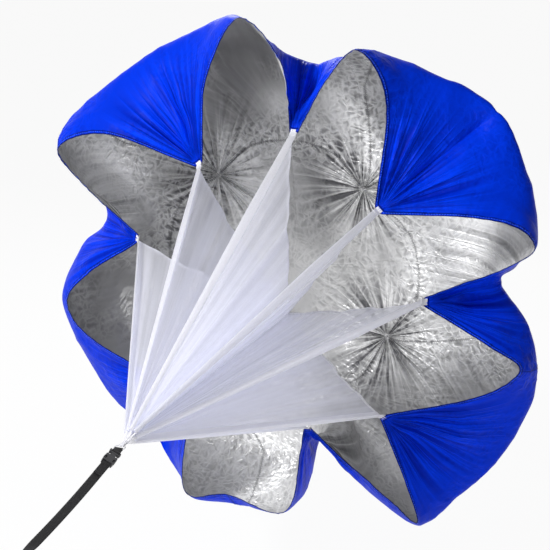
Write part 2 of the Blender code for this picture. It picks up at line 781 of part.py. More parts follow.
def buckle_plug(finish, parent):
    """The plug, measured from the socket's mouth: guide tongue, neck, and the frame with its bar and slot."""
    half = buckle_width / 2
    frame_start = 2 * buckle_bar + buckle_slot - seat_gap
    frame_end = frame_start + plug_frame_length
    thick = plug_frame_thickness / 2
    neck = plug_neck_thickness / 2
    corner = half - buckle_edge_radius
    frame = [(-corner, frame_start), (corner, frame_start), (half, frame_end - buckle_bar),
             (corner, frame_end), (-corner, frame_end), (-half, frame_end - buckle_bar)]
    body = prism("buckle_plug", frame, -thick, thick, finish, parent)
    bevel(body, buckle_edge_radius / 2)
    neck_outline = [(-plug_neck_half_width, seat_gap), (plug_neck_half_width, seat_gap),
                    (plug_neck_half_width - arm_width / 2, frame_start + buckle_edge_radius),
                    (-plug_neck_half_width + arm_width / 2, frame_start + buckle_edge_radius)]
    boolean(body, prism("plug_neck_form", neck_outline, -neck, neck, finish, parent), "UNION")
    taper_start = tongue_half_width - tongue_length
    tongue = [(-tongue_half_width, frame_start), (tongue_half_width, frame_start),
              (tongue_half_width, taper_start), (tongue_half_width / 2, -tongue_length),
              (-tongue_half_width / 2, -tongue_length), (-tongue_half_width, taper_start)]
    guide = socket_cavity_height / 2 - 2 * seat_gap
    boolean(body, prism("plug_tongue_form", tongue, -guide, guide, finish, parent), "UNION")
    slot_half = strap_width / 2 + buckle_slot_side_clearance
    slot_low = frame_end - buckle_bar - buckle_slot
    slot = block("plug_slot_cut", (-slot_half, slot_low, -buckle_width),
                 (slot_half, frame_end + cut_overrun, buckle_width), finish, parent)
    boolean(body, slot, "DIFFERENCE")
    bar_y = frame_end - buckle_bar / 2
    bar = bar_cylinder("plug_bar_form", bar_y, finish, parent, buckle_width - 2 * buckle_edge_radius)
    boolean(body, bar, "UNION")
    smooth(body)
    return bar_y


def arm_root():
    """Where a release arm flexes: across the buckle, and along it from the socket's mouth."""
    half = buckle_width / 2
    centre_x = half - socket_side_wall - arm_side_clearance - arm_width / 2
    centre_y = 2 * buckle_bar + buckle_slot - 2 * seat_gap - arm_width / 2
    return centre_x, centre_y


def release_arm(name, sign, finish, parent):
    """A release arm about its flexing root: a slim beam and head, and the thick pad that fills the window.

    The pad stops short of the window's inner edge by its own travel, so that it can be pressed in.
    """
    root_x, root_y = arm_root()
    half_width = arm_width / 2
    head_high = -window_start - arm_head_inset - root_y
    head_low = -window_start - window_length + arm_head_inset - root_y
    outer = buckle_width / 2 + arm_head_proud - root_x
    outline = arc((0.0, 0.0), half_width, 0.0, 180.0, 6)
    outline += [(-half_width, head_low + arm_tip_chamfer), (0.0, head_low),
                (outer - arm_tip_chamfer, head_low), (outer, head_low + arm_tip_chamfer), (outer, head_high),
                (half_width, head_high)]
    thin = arm_thickness / 2
    body = prism(name, [(sign * x, y) for x, y in outline], -thin, thin, finish, parent)
    travel = -head_low * math.sin(math.radians(arm_press_deg))
    inner = buckle_width / 2 - window_depth + seat_gap + travel - root_x
    thick = arm_head_thickness / 2
    pad = [(inner, head_high), (inner, head_low), (outer - arm_tip_chamfer, head_low),
           (outer, head_low + arm_tip_chamfer), (outer, head_high)]
    boolean(body, prism(f"{name}_pad_form", [(sign * x, y) for x, y in pad], -thick, thick, finish, parent),
            "UNION")
    smooth(body)
    return body


def keeper(plug_bar_y, finish, parent):
    """Webbing looped round the plug's bar and the ring's bar, which lie at different rolls, and sewn."""
    at_plug = buckle_bar / 2 + seat_gap + keeper_thickness / 2
    at_ring = ring_wire / 2 + seat_gap + keeper_thickness / 2
    sewn = keeper_thickness / 2 + seat_gap / 2
    ring_y = plug_bar_y + keeper_length
    sewn_low = (plug_bar_y + ring_y - keeper_sewn_length) / 2
    sewn_high = sewn_low + keeper_sewn_length
    path = [(sewn_low + seat_gap, sewn), (sewn_high, sewn)]
    path += [(ring_y + y, z) for y, z in arc((0.0, 0.0), at_ring, 110.0, -110.0, 10)]
    path += [(sewn_high, -sewn), (sewn_low, -sewn)]
    path += [(plug_bar_y + y, z) for y, z in arc((0.0, 0.0), at_plug, 290.0, 70.0, 10)]
    path += [(sewn_low, sewn)]
    low = plug_bar_y + at_plug
    high = ring_y - at_ring

    def twisted(point):
        share = min(max((point.y - low) / (high - low), 0.0), 1.0)
        return Matrix.Rotation(ROLL * share, 4, "Y") @ point

    return ribbon("webbing_keeper", path, keeper_thickness, strap_width, finish, parent, twisted)


def build():
    clear_scene()
    taffeta = material("coated_taffeta", (0.004, 0.045, 0.62), 0.42)
    net = material("nylon_tulle", (0.86, 0.86, 0.92), 0.75)
    white_webbing = material("white_webbing", (0.90, 0.90, 0.92), 0.70)
    black_webbing = material("black_webbing", (0.012, 0.012, 0.013), 0.75)
    acetal = material("acetal", (0.016, 0.016, 0.018), 0.35)
    steel = material("plated_steel", (0.62, 0.62, 0.64), 0.18, 1.0)

    belt_loop(black_webbing)
    tether_strap(black_webbing)
    mouth = strap_run - buckle_bar / 2 + socket_length
    buckle_socket(acetal, empty("socket_frame", tether_matrix(strap_run)))
    plug_frame = empty("plug_frame", tether_matrix(mouth))
    plug_bar_y = buckle_plug(acetal, plug_frame)
    root_x, root_y = arm_root()
    for name, sign in (("left", -1), ("right", 1)):
        root = tether_matrix(mouth + root_y) @ Matrix.Translation((sign * root_x, 0.0, 0.0))
        release_arm(f"release_arm_{name}", sign, acetal, empty(f"release_arm_{name}_pivot", root))

    keeper(plug_bar_y, black_webbing, plug_frame)
    ring_matrix = Matrix.Translation(tether_matrix(mouth + plug_bar_y + keeper_length).to_translation())
    d_ring(steel, ring_matrix)

    bow_centre = ring_matrix @ Matrix.Translation((0.0, ring_corner_radius + ring_side_length, 0.0))
    swing = empty("chute_swing", bow_centre)
    chute = empty("chute_axis", bow_centre @ Matrix.Translation((0.0, ring_half_width + net_length, 0.0)))
    chute.parent = swing
    chute.matrix_parent_inverse = bow_centre.inverted()
    apex_loop(white_webbing, chute)
    net_gather(net, chute)
    for lobe in range(LOBES):
        net_fin(lobe, gather_end, net, chute)
        hem_tab(lobe, white_webbing, chute)
    grid, normals = canopy_grid()
    crown_panel(grid, normals, taffeta, chute)
    for index in range(len(corner_seam_lobes)):
        side_panel(index, grid, normals, taffeta, chute)


build()
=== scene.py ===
"""Looks of the speed parachute: canopy, nets, webbing, stitches, buckle and ring, with camera and lights.

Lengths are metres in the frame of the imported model. The canopy's shape and the strap's route repeat the
sizes of the part's source.
"""

import itertools
import math

import bpy
import numpy as np
from mathutils import Matrix, Vector


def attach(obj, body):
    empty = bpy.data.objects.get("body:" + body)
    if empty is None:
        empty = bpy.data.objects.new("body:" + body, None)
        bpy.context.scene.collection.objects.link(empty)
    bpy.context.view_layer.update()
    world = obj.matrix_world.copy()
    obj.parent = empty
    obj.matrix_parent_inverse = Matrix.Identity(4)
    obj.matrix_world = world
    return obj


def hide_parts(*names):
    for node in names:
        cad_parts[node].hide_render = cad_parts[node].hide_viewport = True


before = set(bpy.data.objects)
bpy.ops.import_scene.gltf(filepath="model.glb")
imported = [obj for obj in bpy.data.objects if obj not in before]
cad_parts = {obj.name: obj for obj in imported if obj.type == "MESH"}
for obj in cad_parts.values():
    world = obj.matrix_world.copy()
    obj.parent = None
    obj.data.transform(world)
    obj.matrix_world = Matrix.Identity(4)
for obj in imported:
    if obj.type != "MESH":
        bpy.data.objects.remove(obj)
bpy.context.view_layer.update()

# Photograph's view
camera_azimuth_deg = 19.6
camera_elevation_deg = 19.6
camera_distance = 4.35
camera_focal_pixels = 1500.0
picture_pixels = 550.0
mouth_pixel = (288.0, 283.0)

# Tether line
line_level_run = 0.076
line_pitch_deg = 5.5
line_straight_run = 0.060
line_roll_run = 0.050
line_roll_deg = -28.0
strap_width = 0.020
strap_thickness = 0.0014
strap_run = 0.450
strap_tail = 0.034
strap_ramp = 0.010
belt_slot_length = 0.052
belt_slot_gap = 0.006
belt_loop_ramp = 0.012
belt_loop_overlap = 0.034
buckle_bar = 0.0036
buckle_slot = 0.0034
socket_length = 0.031
plug_frame_length = 0.0104
keeper_thickness = 0.0012
keeper_length = 0.0165
keeper_sewn_length = 0.0040
ring_wire = 0.0030
ring_half_width = 0.0120
ring_side_length = 0.0030
ring_corner_radius = 0.0025
seat_gap = 0.0003

# Loop and gathered net corners at the apex
apex_loop_width = 0.010
apex_loop_thickness = 0.0009
apex_leg_length = 0.022
gather_width = 0.0092
gather_swell_start = 0.009
gather_end = 0.048
gather_core_radius = 0.0050
gather_pleat_radius = 0.0185
gather_pleat_half_angle_deg = 9.0
gather_crinkle = 0.03
gather_points = 144
gather_rings = 28

# Canopy
net_length = 1.130
mouth_radius = 0.440
crown_seam_radius = 0.420
crown_mid_radius = 0.220
tip_depth = 0.040
front_depth = 0.078
belly_depth = 0.190
rear_depth = 0.320
crown_seam_depth = 0.400
crown_mid_depth = 0.452
crown_depth = 0.470
crown_shift_x = -0.150
crown_shift_z = -0.120
cloth_thickness = 0.0005
hem_thickness = 0.0022
hem_width = 0.012
front_bulge_share = 0.035
front_mix_share = 0.52
rear_mix_share = 0.68
canopy_stations = (
    ((170.0, 1.09, 173.0, 1.53), (161.5, 1.58, 162.0, 1.865),
     (156.5, 1.85, 154.0, 1.935), (146.5, 1.59, 143.0, 1.855)),
    ((129.5, 0.97, 129.5, 1.79), (114.0, 1.43, 117.0, 1.75),
     (102.0, 1.75, 107.0, 1.715), (92.5, 1.43, 99.0, 1.50)),
    ((88.0, 1.02, 91.0, 1.42), (81.0, 1.36, 83.0, 1.44),
     (75.0, 1.61, 74.0, 1.53), (64.0, 1.40, 61.0, 1.60)),
    ((43.0, 0.82, 43.0, 1.74), (22.0, 1.46, 25.0, 1.65),
     (14.0, 1.64, 14.0, 1.57), (9.5, 1.41, 6.5, 1.44)),
    ((-1.0, 0.92, 0.5, 1.33), (-12.5, 1.37, -9.0, 1.55),
     (-16.0, 1.60, -18.0, 1.67), (-26.5, 1.45, -28.0, 1.78)),
    ((-52.0, 1.09, -43.0, 1.88), (-59.0, 1.61, -56.0, 1.95),
     (-61.5, 1.89, -65.0, 1.98), (-65.0, 1.65, -75.0, 1.68)),
    ((-82.0, 1.04, -83.0, 1.34), (-91.0, 1.73, -90.5, 1.77),
     (-106.0, 1.76, -103.0, 1.95), (-115.5, 1.88, -117.0, 2.03)),
    ((-129.0, 1.15, -130.0, 2.03), (-156.5, 1.60, -150.0, 1.94),
     (-167.0, 1.73, -166.0, 1.89), (-174.5, 1.51, -178.0, 1.71)),
)
free_hem_depth_shares = (0.75, 1.0, 0.75)
corner_seam_lobes = (0, 2, 4, 6)
fold_height = 0.0045
folds_per_radian = 9.0
fold_start = 0.022
fold_full = 0.110
fold_fade = 0.240

# Tabs and nets
tab_width = 0.020
tab_thickness = 0.0009
tab_on_cloth = 0.010
tab_on_net = 0.013
hem_straight_margin = 0.003
hem_straight_share = 0.07
net_hem_thickness = 0.0012
net_hem_width = 0.022
net_mouth_hem_width = 0.016
net_roll_width = 0.027
net_centre_x = 0.040
net_centre_y = 0.100
net_centre_z = -0.050
net_mouth_sag = 0.020
net_apex_radius_share = 0.92
net_pleat_height = 0.0030
net_pleat_growth = 1.3
net_waves = ((1.0, 3.1, 0.37), (0.6, 6.7, 1.0))
net_soft_layer = (0.20, 7)
net_roll_start = 0.005
net_roll_widest = 0.7
net_roll_depth = 0.003
net_columns = 60
net_rows = 150
hem_columns = 5

# Crown panel's corners, which lie beside the lobes' middles
corner_turn = 0.38
corner_turn_end = 3.0
corner_draw = 0.20
corner_draw_width = 0.30

# Valleys and hollows behind the tabs, and how much calmer the cloth is at its hem
valley_depth = 0.022
valley_half_width = 0.006
valley_spread = 0.05
valley_round = 0.003
hollow_depth = 0.024
hollow_half_width_share = 0.26
hollow_least_half_width = 0.01
hollow_rise = (0.03, 0.16)
hollow_fall_length = 0.18
hollow_ends = (0.34, 0.36, 0.36, 0.52, 0.32, 0.34, 0.46, 0.56)
hollow_depth_shares = (1.0, 1.0, 1.0, 1.0, 0.8, 1.0, 1.0, 2.4)
hem_calm = 0.80
hem_calm_width = 0.034

# Pleats and crumples of the cloth: height, size and seed of each layer. A run is how fast a layer's noise
# changes along its creases, so that less of it makes longer creases.
ridge_softness = 0.003
tab_pleats_layers = ((0.0080, 0.34, 11), (0.0075, 0.15, 12))
tab_pleats_run = 4.0
tab_pleats_rise = 0.10
tab_pleats_fall = (0.20, 0.38)
star_pleats_layer = (0.0042, 0.34, 14)
star_pleats_run = 1.2
star_pleats_rise = 0.06
star_pleats_reach = 0.13
crumple_layers = ((0.0050, 0.130, 3), (0.0032, 0.062, 4), (0.0020, 0.030, 5))
crumple_patches = (0.26, 6)
crumple_patch_range = (-0.35, 0.55)
crumple_least_share = 0.30
crumple_seam_reach = 0.09
seam_pucker_layer = (0.0016, 0.016, 16)
seam_pucker_run = 0.25
seam_pucker_reach = 0.045
hem_pucker_layer = (0.0016, 0.013, 17)
hem_pucker_run = 0.12
hem_pucker_line = 0.012
hem_pucker_reach = 0.014
corner_pucker_layer = (0.0014, 0.015, 18)
corner_pucker_run = 0.2
corner_pucker_reach = 0.040

# Weights of the fine creases that the material draws, as bumps and as painted shade and highlight, and the
# reach that each rises and falls between
fan_weight = 1.3
fan_rise = (0.012, 0.050)
fan_fall = (0.14, 0.42)
fan_slack_fall = (0.30, 0.55)
fan_far_share = 0.4
fan_border = (-0.02, 0.08)
star_weight = 1.5
star_rise = (0.004, 0.020)
star_reach = 0.16
seam_crease_reach = 0.080
hem_crease_weight = 1.1
hem_crease_line = 0.007
hem_crease_reach = 0.008

# Shadow at the folded edges: how much, and how wide
hem_fold_gap = 0.0012
hem_fold_shadow = (1.0, 0.0022)
hem_edge_shadow = (1.4, 0.0032)
seam_edge_shadow = (0.9, 0.0016)

# Where the coat is crumpled, above nought, or drawn taut, below it, which also paints the silver face lighter
# or darker as painted light and shade: place round the canopy, place down the meridian, radius, and how much
slack_and_painted_light_zones = (
    (0.15, 3.30, 0.13, 0.9), (0.62, 1.50, 0.13, 0.8), (0.92, 2.40, 0.12, -0.4), (1.34, 3.00, 0.17, -0.6),
    (1.50, 2.50, 0.06, 0.5), (2.20, 1.90, 0.13, -0.35), (2.55, 2.40, 0.10, 0.4), (3.66, 3.00, 0.18, 0.8),
    (3.56, 2.20, 0.10, 0.4), (4.58, 2.70, 0.16, 0.6), (4.90, 2.10, 0.12, -0.5), (5.60, 3.50, 0.16, 0.3),
    (6.50, 3.30, 0.20, 0.7), (7.50, 3.30, 0.20, -0.4), (7.78, 1.90, 0.14, -0.5),
)

# Seams, hem and stitches
seam_width = 0.0065
seam_thickness = 0.0012
seam_stitch_line = 0.0040
hem_stitch_line = 0.0082
hem_groove = 0.0013
hem_ring_radius = 0.75
thread_radius = 0.0006
thread_sunk_share = 0.4
stitch_pitch = 0.0075
stitch_half_length = 0.0026

# Wall of the cloth, as pairs of distance from the edge and thickness
seam_profile = ((0.0, 0.0004), (0.0012, 0.0006), (0.0025, seam_thickness), (seam_width, seam_thickness),
                (seam_width + 0.002, cloth_thickness))
hem_profile = ((0.0, 0.0012), (0.0015, hem_thickness), (0.0060, hem_thickness), (hem_stitch_line, hem_groove),
               (0.0102, hem_thickness), (hem_width - 0.0005, hem_thickness),
               (hem_width + 0.001, cloth_thickness))

# Resolution of the cloth
columns_per_lobe = 166
rows_on_side = 146
columns_on_crown = 560
rows_on_crown = 84
seam_column_step = 0.0025
edge_row_step = 0.009
seam_fine_columns = 6
seam_fine_rows = 8
hem_fine_rows = 18
corner_stitch_rows = slice(6, -20)
cloth_sharp_angle_deg = 62.0
no_edge = 9.0
probe = 0.006
samples_per_lobe = 240
sample_rows = 600

# Floor and lights
floor_half_size = 30.0
floor_height = -1.15
floor_glow_share = 0.93
world_strength = 0.17
lamps = (
    ("key_light", (-2.4, -1.6, 3.2), 0.9, 225.0),
    ("fill_light", (1.8, -3.0, -0.2), 1.4, 50.0),
    ("back_light", (-1.8, 4.6, 2.2), 1.6, 80.0),
)

LOBES = len(canopy_stations)
ROLL = math.radians(line_roll_deg)


# Helpers

def linear(hex_colour):
    """An sRGB colour such as 1f5fff, as linear values."""
    values = [int(hex_colour[k:k + 2], 16) / 255 for k in (0, 2, 4)]
    return tuple(v / 12.92 if v <= 0.04045 else ((v + 0.055) / 1.055) ** 2.4 for v in values) + (1.0,)


def connect(tree, node, inputs):
    """Fills inputs of a node: with a value, or with a link from a socket or a node's first output."""
    for name, value in inputs.items():
        if isinstance(value, bpy.types.Node):
            value = value.outputs[0]
        if isinstance(value, bpy.types.NodeSocket):
            tree.links.new(value, node.inputs[name])
        else:
            node.inputs[name].default_value = value


def add_node(tree, kind, inputs=None, **settings):
    """A node with its settings and its inputs."""
    made = tree.nodes.new(kind)
    for name, value in settings.items():
        setattr(made, name, value)
    connect(tree, made, inputs or {})
    return made


def new_material(name):
    made = bpy.data.materials.new(name)
    made.use_nodes = True
    return made, made.node_tree, made.node_tree.nodes["Principled BSDF"]


def add_object(name, data):
    made = bpy.data.objects.new(name, data)
    bpy.context.scene.collection.objects.link(made)
    return made


def add_mesh(name, points, faces, materials, face_slots=None, uvs=None):
    """A smooth mesh. uvs holds one pair for each point."""
    mesh = bpy.data.meshes.new(name)
    mesh.from_pydata(np.asarray(points, float).reshape(-1, 3).tolist(), [], faces)
    for finish in materials:
        mesh.materials.append(finish)
    if face_slots is not None:
        mesh.polygons.foreach_set("material_index", np.asarray(face_slots, np.int32))
    if uvs is not None:
        corners = np.zeros(len(mesh.loops), np.int32)
        mesh.loops.foreach_get("vertex_index", corners)
        layer = mesh.uv_layers.new(name="surface")
        layer.data.foreach_set("uv", np.asarray(uvs, np.float32)[corners].ravel())
    mesh.shade_smooth()
    return add_object(name, mesh)


def set_attribute(item, name, values):
    """A number or a vector on each point of a mesh."""
    values = np.asarray(values, np.float32)
    kind, field = ("FLOAT_VECTOR", "vector") if values.ndim == 2 else ("FLOAT", "value")
    item.data.attributes.new(name, kind, "POINT").data.foreach_set(field, values.ravel())


def place_piece(item, body, slot, *nodes):
    """Puts a piece on its body, in place of the CAD nodes that it stands for. Its slot is not used."""
    if nodes:
        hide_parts(*nodes)
    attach(item, body)


def grid_faces(columns, rows, start=0, flip=False, closed=False, halves=False):
    """Quads of a grid whose points run row by row inside each column, or their halves as triangles."""
    faces = []
    for i in range(columns if closed else columns - 1):
        here = start + i * rows
        there = start + (i + 1) % columns * rows
        for j in range(rows - 1):
            quad = (here + j, here + j + 1, there + j + 1, there + j)
            parts = ((quad[0], quad[1], quad[2]), (quad[0], quad[2], quad[3])) if halves else (quad,)
            faces += [part[::-1] if flip else part for part in parts]
    return faces


def tube_faces(count, rings):
    """Quads between rings that each have a count of points, with a cap at both ends."""
    faces = [tuple(range(count))[::-1], tuple(range((rings - 1) * count, rings * count))]
    for row in range(rings - 1):
        low, high = row * count, (row + 1) * count
        for here in range(count):
            there = (here + 1) % count
            faces.append((low + here, low + there, high + there, high + here))
    return faces


def noise(points, size, seed):
    """Smooth noise from -1 to 1 with cells of a size, the same on every run."""
    cell = np.asarray(points, float) / size + 19.7 * seed
    low = np.floor(cell).astype(np.int64)
    part = cell - low
    part = part * part * part * (part * (6 * part - 15) + 10)
    total = np.zeros(cell.shape[:-1])
    for corner in itertools.product((0, 1), repeat=3):
        where = low + np.array(corner)
        mixed = where[..., 0] * 73856093 ^ where[..., 1] * 19349663 ^ where[..., 2] * 83492791 ^ seed * 40503
        mixed = (mixed ^ (mixed >> 13)) * 1274126177 & 0x7FFFFFFF
        value = ((mixed ^ (mixed >> 15)) & 0xFFFF) / 32767.5 - 1.0
        total += value * np.prod(np.where(corner, part, 1.0 - part), axis=-1)
    return total


def step_between(values, low, high):
    """Rises smoothly from 0 at low to 1 at high."""
    share = np.clip((values - low) / (high - low), 0.0, 1.0)
    return share * share * (3 - 2 * share)


def close_to(distance, reach):
    """1 where a distance is nought, falling away as it grows past a reach."""
    return np.exp(-(distance / reach) ** 2)


def unit(vectors):
    return vectors / np.linalg.norm(vectors, axis=-1, keepdims=True)


# Camera

def add_camera(target):
    turn, rise = math.radians(camera_azimuth_deg), math.radians(camera_elevation_deg)
    back = Vector((math.sin(turn) * math.cos(rise), -math.cos(turn) * math.cos(rise), math.sin(rise)))
    right = Vector((math.cos(turn), math.sin(turn), 0.0))
    up = back.cross(right)
    pixel = camera_distance / camera_focal_pixels
    place = target + back * camera_distance
    place -= right * (mouth_pixel[0] - picture_pixels / 2) * pixel
    place += up * (mouth_pixel[1] - picture_pixels / 2) * pixel
    lens = bpy.data.cameras.new("camera")
    lens.sensor_width = 36.0
    lens.lens = camera_focal_pixels / picture_pixels * lens.sensor_width
    camera = add_object("camera", lens)
    camera.matrix_world = Matrix.Translation(place) @ Matrix((right, up, back)).transposed().to_4x4()
    bpy.context.scene.camera = camera


# Tether line

def tether_matrix(distance):
    """The strap's frame at a distance from the belt loop's middle: Y runs along it and Z off its face."""
    curved = strap_run - line_straight_run - line_level_run
    curvature = math.radians(line_pitch_deg) / curved
    turn = min(max(distance - line_level_run, 0.0), curved) * curvature
    beyond = max(distance - line_level_run - curved, 0.0)
    y = min(distance, line_level_run) + math.sin(turn) / curvature + beyond * math.cos(turn)
    z = belt_slot_gap / 2 + (1 - math.cos(turn)) / curvature + beyond * math.sin(turn)
    roll = ROLL * step_between(distance, line_level_run, line_level_run + line_roll_run)
    return Matrix.Translation((0.0, y, z)) @ Matrix.Rotation(turn, 4, "X") @ Matrix.Rotation(-roll, 4, "Y")


def on_tether(point):
    return tether_matrix(point.y) @ Vector((point.x, 0.0, point.z))


def buckle_mouth():
    return strap_run - buckle_bar / 2 + socket_length


def plug_bar_place():
    return 2 * buckle_bar + buckle_slot - seat_gap + plug_frame_length - buckle_bar / 2


def ring_place():
    return tether_matrix(buckle_mouth() + plug_bar_place() + keeper_length).to_translation()


def mouth_centre():
    bow = ring_corner_radius + ring_side_length + ring_half_width
    return ring_place() + Vector((0.0, bow + net_length, 0.0))


def arc(centre, radius, start_deg, end_deg, steps):
    """Points on an arc, both ends among them."""
    angles = np.radians(np.linspace(start_deg, end_deg, steps + 1))
    return [(centre[0] + radius * math.cos(a), centre[1] + radius * math.sin(a)) for a in angles]


def even_path(path, step):
    """The path with points added, so that none lie further apart than a step."""
    path = np.array(path, float)
    out = [path[0]]
    for start, end in zip(path[:-1], path[1:]):
        count = max(1, math.ceil(np.linalg.norm(end - start) / step))
        out += [start + (end - start) * k / count for k in range(1, count + 1)]
    return np.array(out)


def webbing(name, path, thickness, width, finish, place, step=0.0025):
    """Woven tape along a path in Y and Z, with rounded selvedges and its width along X.

    Its UV map is in metres: across the tape, and along it.
    """
    path = even_path(path, step)
    run = np.diff(path, axis=0)
    lengths = np.linalg.norm(run, axis=1)
    run /= lengths[:, None]
    before, after = np.vstack((run[:1], run)), np.vstack((run, run[-1:]))
    mean = unit(before + after)
    side = np.stack((-mean[:, 1], mean[:, 0]), axis=1)
    reach = thickness / 2 / np.einsum("ij,ij->i", mean, after)
    along = np.concatenate(((0.0,), np.cumsum(lengths)))
    edge = thickness / 2
    flat = np.linspace(-width / 2 + edge, width / 2 - edge, 7)
    selvedge = [(width / 2 - edge + edge * math.sin(a), math.cos(a)) for a in np.radians((45.0, 90.0, 135.0))]
    section = [(x, 1.0) for x in flat] + selvedge
    section += [(-x, -lift) for x, lift in section]
    points, uvs = [], []
    for (y, z), (side_y, side_z), offset, distance in zip(path, side, reach, along):
        for x, lift in section:
            points.append(place(Vector((x, y + lift * side_y * offset, z + lift * side_z * offset))))
            uvs.append((x, distance))
    made = add_mesh(name, points, tube_faces(len(section), len(path)), [finish], uvs=uvs)
    face_outwards(made)
    return made


def face_outwards(item):
    """Turns a closed mesh the right way out."""
    mesh = item.data
    mesh.update()
    points = np.zeros(len(mesh.vertices) * 3)
    mesh.vertices.foreach_get("co", points)
    points = points.reshape(-1, 3)
    mesh.calc_loop_triangles()
    corners = np.zeros(len(mesh.loop_triangles) * 3, np.int32)
    mesh.loop_triangles.foreach_get("vertices", corners)
    a, b, c = points[corners.reshape(-1, 3)].transpose(1, 0, 2)
    if np.einsum("ij,ij->", a, np.cross(b, c)) < 0.0:
        mesh.flip_normals()


def belt_loop_path():
    eye = belt_slot_gap / 2 + strap_thickness / 2
    sewn = strap_thickness + seat_gap
    far = belt_slot_length / 2
    near = far + belt_loop_ramp
    end = near + belt_loop_overlap
    path = [(end, sewn), (near, sewn), (far, eye)]
    path += [(-y - far, z) for y, z in arc((0.0, 0.0), eye, 90.0, -90.0, 16)]
    return path + [(far, -eye), (near, -sewn), (end, -sewn)]


def strap_path():
    wrap = buckle_bar / 2 + seat_gap + strap_thickness / 2
    tail = strap_thickness + seat_gap
    start = belt_slot_length / 2 + belt_loop_ramp + seat_gap
    end = strap_run - wrap - strap_ramp
    path = [(start, 0.0), (end, 0.0), (strap_run - wrap / 2, -wrap)]
    path += [(strap_run + y, z) for y, z in arc((0.0, 0.0), wrap, -90.0, 90.0, 16)]
    return path + [(strap_run - wrap / 2, wrap), (end, tail), (end - strap_tail, tail)]


def keeper_path():
    at_plug = buckle_bar / 2 + seat_gap + keeper_thickness / 2
    at_ring = ring_wire / 2 + seat_gap + keeper_thickness / 2
    sewn = keeper_thickness / 2 + seat_gap / 2
    plug_bar_y = plug_bar_place()
    ring_y = plug_bar_y + keeper_length
    sewn_low = (plug_bar_y + ring_y - keeper_sewn_length) / 2
    sewn_high = sewn_low + keeper_sewn_length
    path = [(sewn_low + seat_gap, sewn), (sewn_high, sewn)]
    path += [(ring_y + y, z) for y, z in arc((0.0, 0.0), at_ring, 110.0, -110.0, 16)]
    path += [(sewn_high, -sewn), (sewn_low, -sewn)]
    path += [(plug_bar_y + y, z) for y, z in arc((0.0, 0.0), at_plug, 290.0, 70.0, 20)]
    return path + [(sewn_low, sewn)]


def on_keeper(point):
    """The keeper turns from the plug's roll to the ring's."""
    low = plug_bar_place() + buckle_bar / 2 + seat_gap + keeper_thickness / 2
    high = plug_bar_place() + keeper_length - ring_wire / 2 - seat_gap - keeper_thickness / 2
    share = min(max((point.y - low) / (high - low), 0.0), 1.0)
    return tether_matrix(buckle_mouth()) @ Matrix.Rotation(ROLL * share, 4, "Y") @ point


# Canopy surface

def polar(angle_deg, radius, depth):
    turn = math.radians(angle_deg)
    return np.array((radius * math.cos(turn), depth, radius * math.sin(turn)))


def station(place):
    place %= 4 * LOBES
    return canopy_stations[place // 4][place % 4]


def hem_station(place):
    angle_deg, share, _, _ = station(place)
    depth = 0.0 if place % 4 == 0 else tip_depth * free_hem_depth_shares[place % 4 - 1]
    return polar(angle_deg, mouth_radius * share, depth)


def belly_station(place):
    _, _, angle_deg, share = station(place)
    return polar(angle_deg, mouth_radius * share, belly_depth)


def tab_tangent(lobe):
    """Direction along the hem at a tab, towards the next tab."""
    turn = math.radians(station(4 * lobe)[0])
    return np.array((math.sin(turn), 0.0, -math.cos(turn)))


def spline(knots, places):
    """A Catmull-Rom curve at several places: place 0 is the second knot."""
    knots = np.asarray(knots)
    places = np.atleast_1d(places)
    index = np.minimum(np.floor(places).astype(int), len(knots) - 4)
    t = (places - index)[:, None]
    before, start, end, after = (knots[index + k] for k in range(4))
    return 0.5 * (2 * start + (end - before) * t + (2 * before - 5 * start + 4 * end - after) * t ** 2
                  + (3 * start - before - 3 * end + after) * t ** 3)


def tab_side(lobe, share):
    """Which tab a place on the hem lies under, and how far along the hem from its middle, or None."""
    reach = tab_width / 2 + hem_straight_margin
    if share <= hem_straight_share:
        return lobe, reach * share / hem_straight_share
    if share >= 1 - hem_straight_share:
        return lobe + 1, -reach * (1 - share) / hem_straight_share
    return None


def hem_point(lobe, share):
    under = tab_side(lobe, share)
    if under:
        return hem_station(4 * under[0]) + tab_tangent(under[0]) * under[1]
    knots = [hem_point(lobe, hem_straight_share)]
    knots += [hem_station(4 * lobe + step) for step in (1, 2, 3)]
    knots += [hem_point(lobe, 1 - hem_straight_share)]
    knots = [2 * knots[0] - knots[1]] + knots + [2 * knots[-1] - knots[-2]]
    return spline(knots, 4 * (share - hem_straight_share) / (1 - 2 * hem_straight_share))[0]


def belly_point(lobe, share):
    place = 4 * (lobe + share)
    index = int(math.floor(place))
    return spline([belly_station(index + step) for step in (-1, 0, 1, 2)], place - index)[0]


def crown_centre(depth):
    lean = depth / crown_depth
    return np.array((crown_shift_x * lean, depth, crown_shift_z * lean))


def front_point(hem, belly):
    outward = unit(belly - crown_centre(belly_depth))
    front = hem + (belly - hem) * front_mix_share + outward * front_bulge_share * mouth_radius
    front[1] = front_depth + hem[1] / 2
    return front


def meridian(lobe, share, places):
    """The cloth's middle surface at one place round the canopy: 0 is the crown's middle and 6 the hem."""
    hem = hem_point(lobe, share)
    belly = belly_point(lobe, share)
    outward = unit(belly - crown_centre(belly_depth))
    seam = crown_centre(crown_seam_depth) + outward * crown_seam_radius
    middle = crown_centre(crown_mid_depth) + outward * crown_mid_radius
    rear = seam + (belly - seam) * rear_mix_share
    rear[1] = rear_depth
    under = tab_side(lobe, share)
    if under:
        tab_hem = hem_point(under[0], 0.0)
        front = front_point(tab_hem, belly_point(under[0], 0.0)) + hem - tab_hem
    else:
        front = front_point(hem, belly)
    knots = [crown_centre(crown_depth), middle, seam, rear, belly, front, hem]
    return spline([2 * knots[0] - knots[1]] + knots + [2 * knots[-1] - knots[-2]], places)


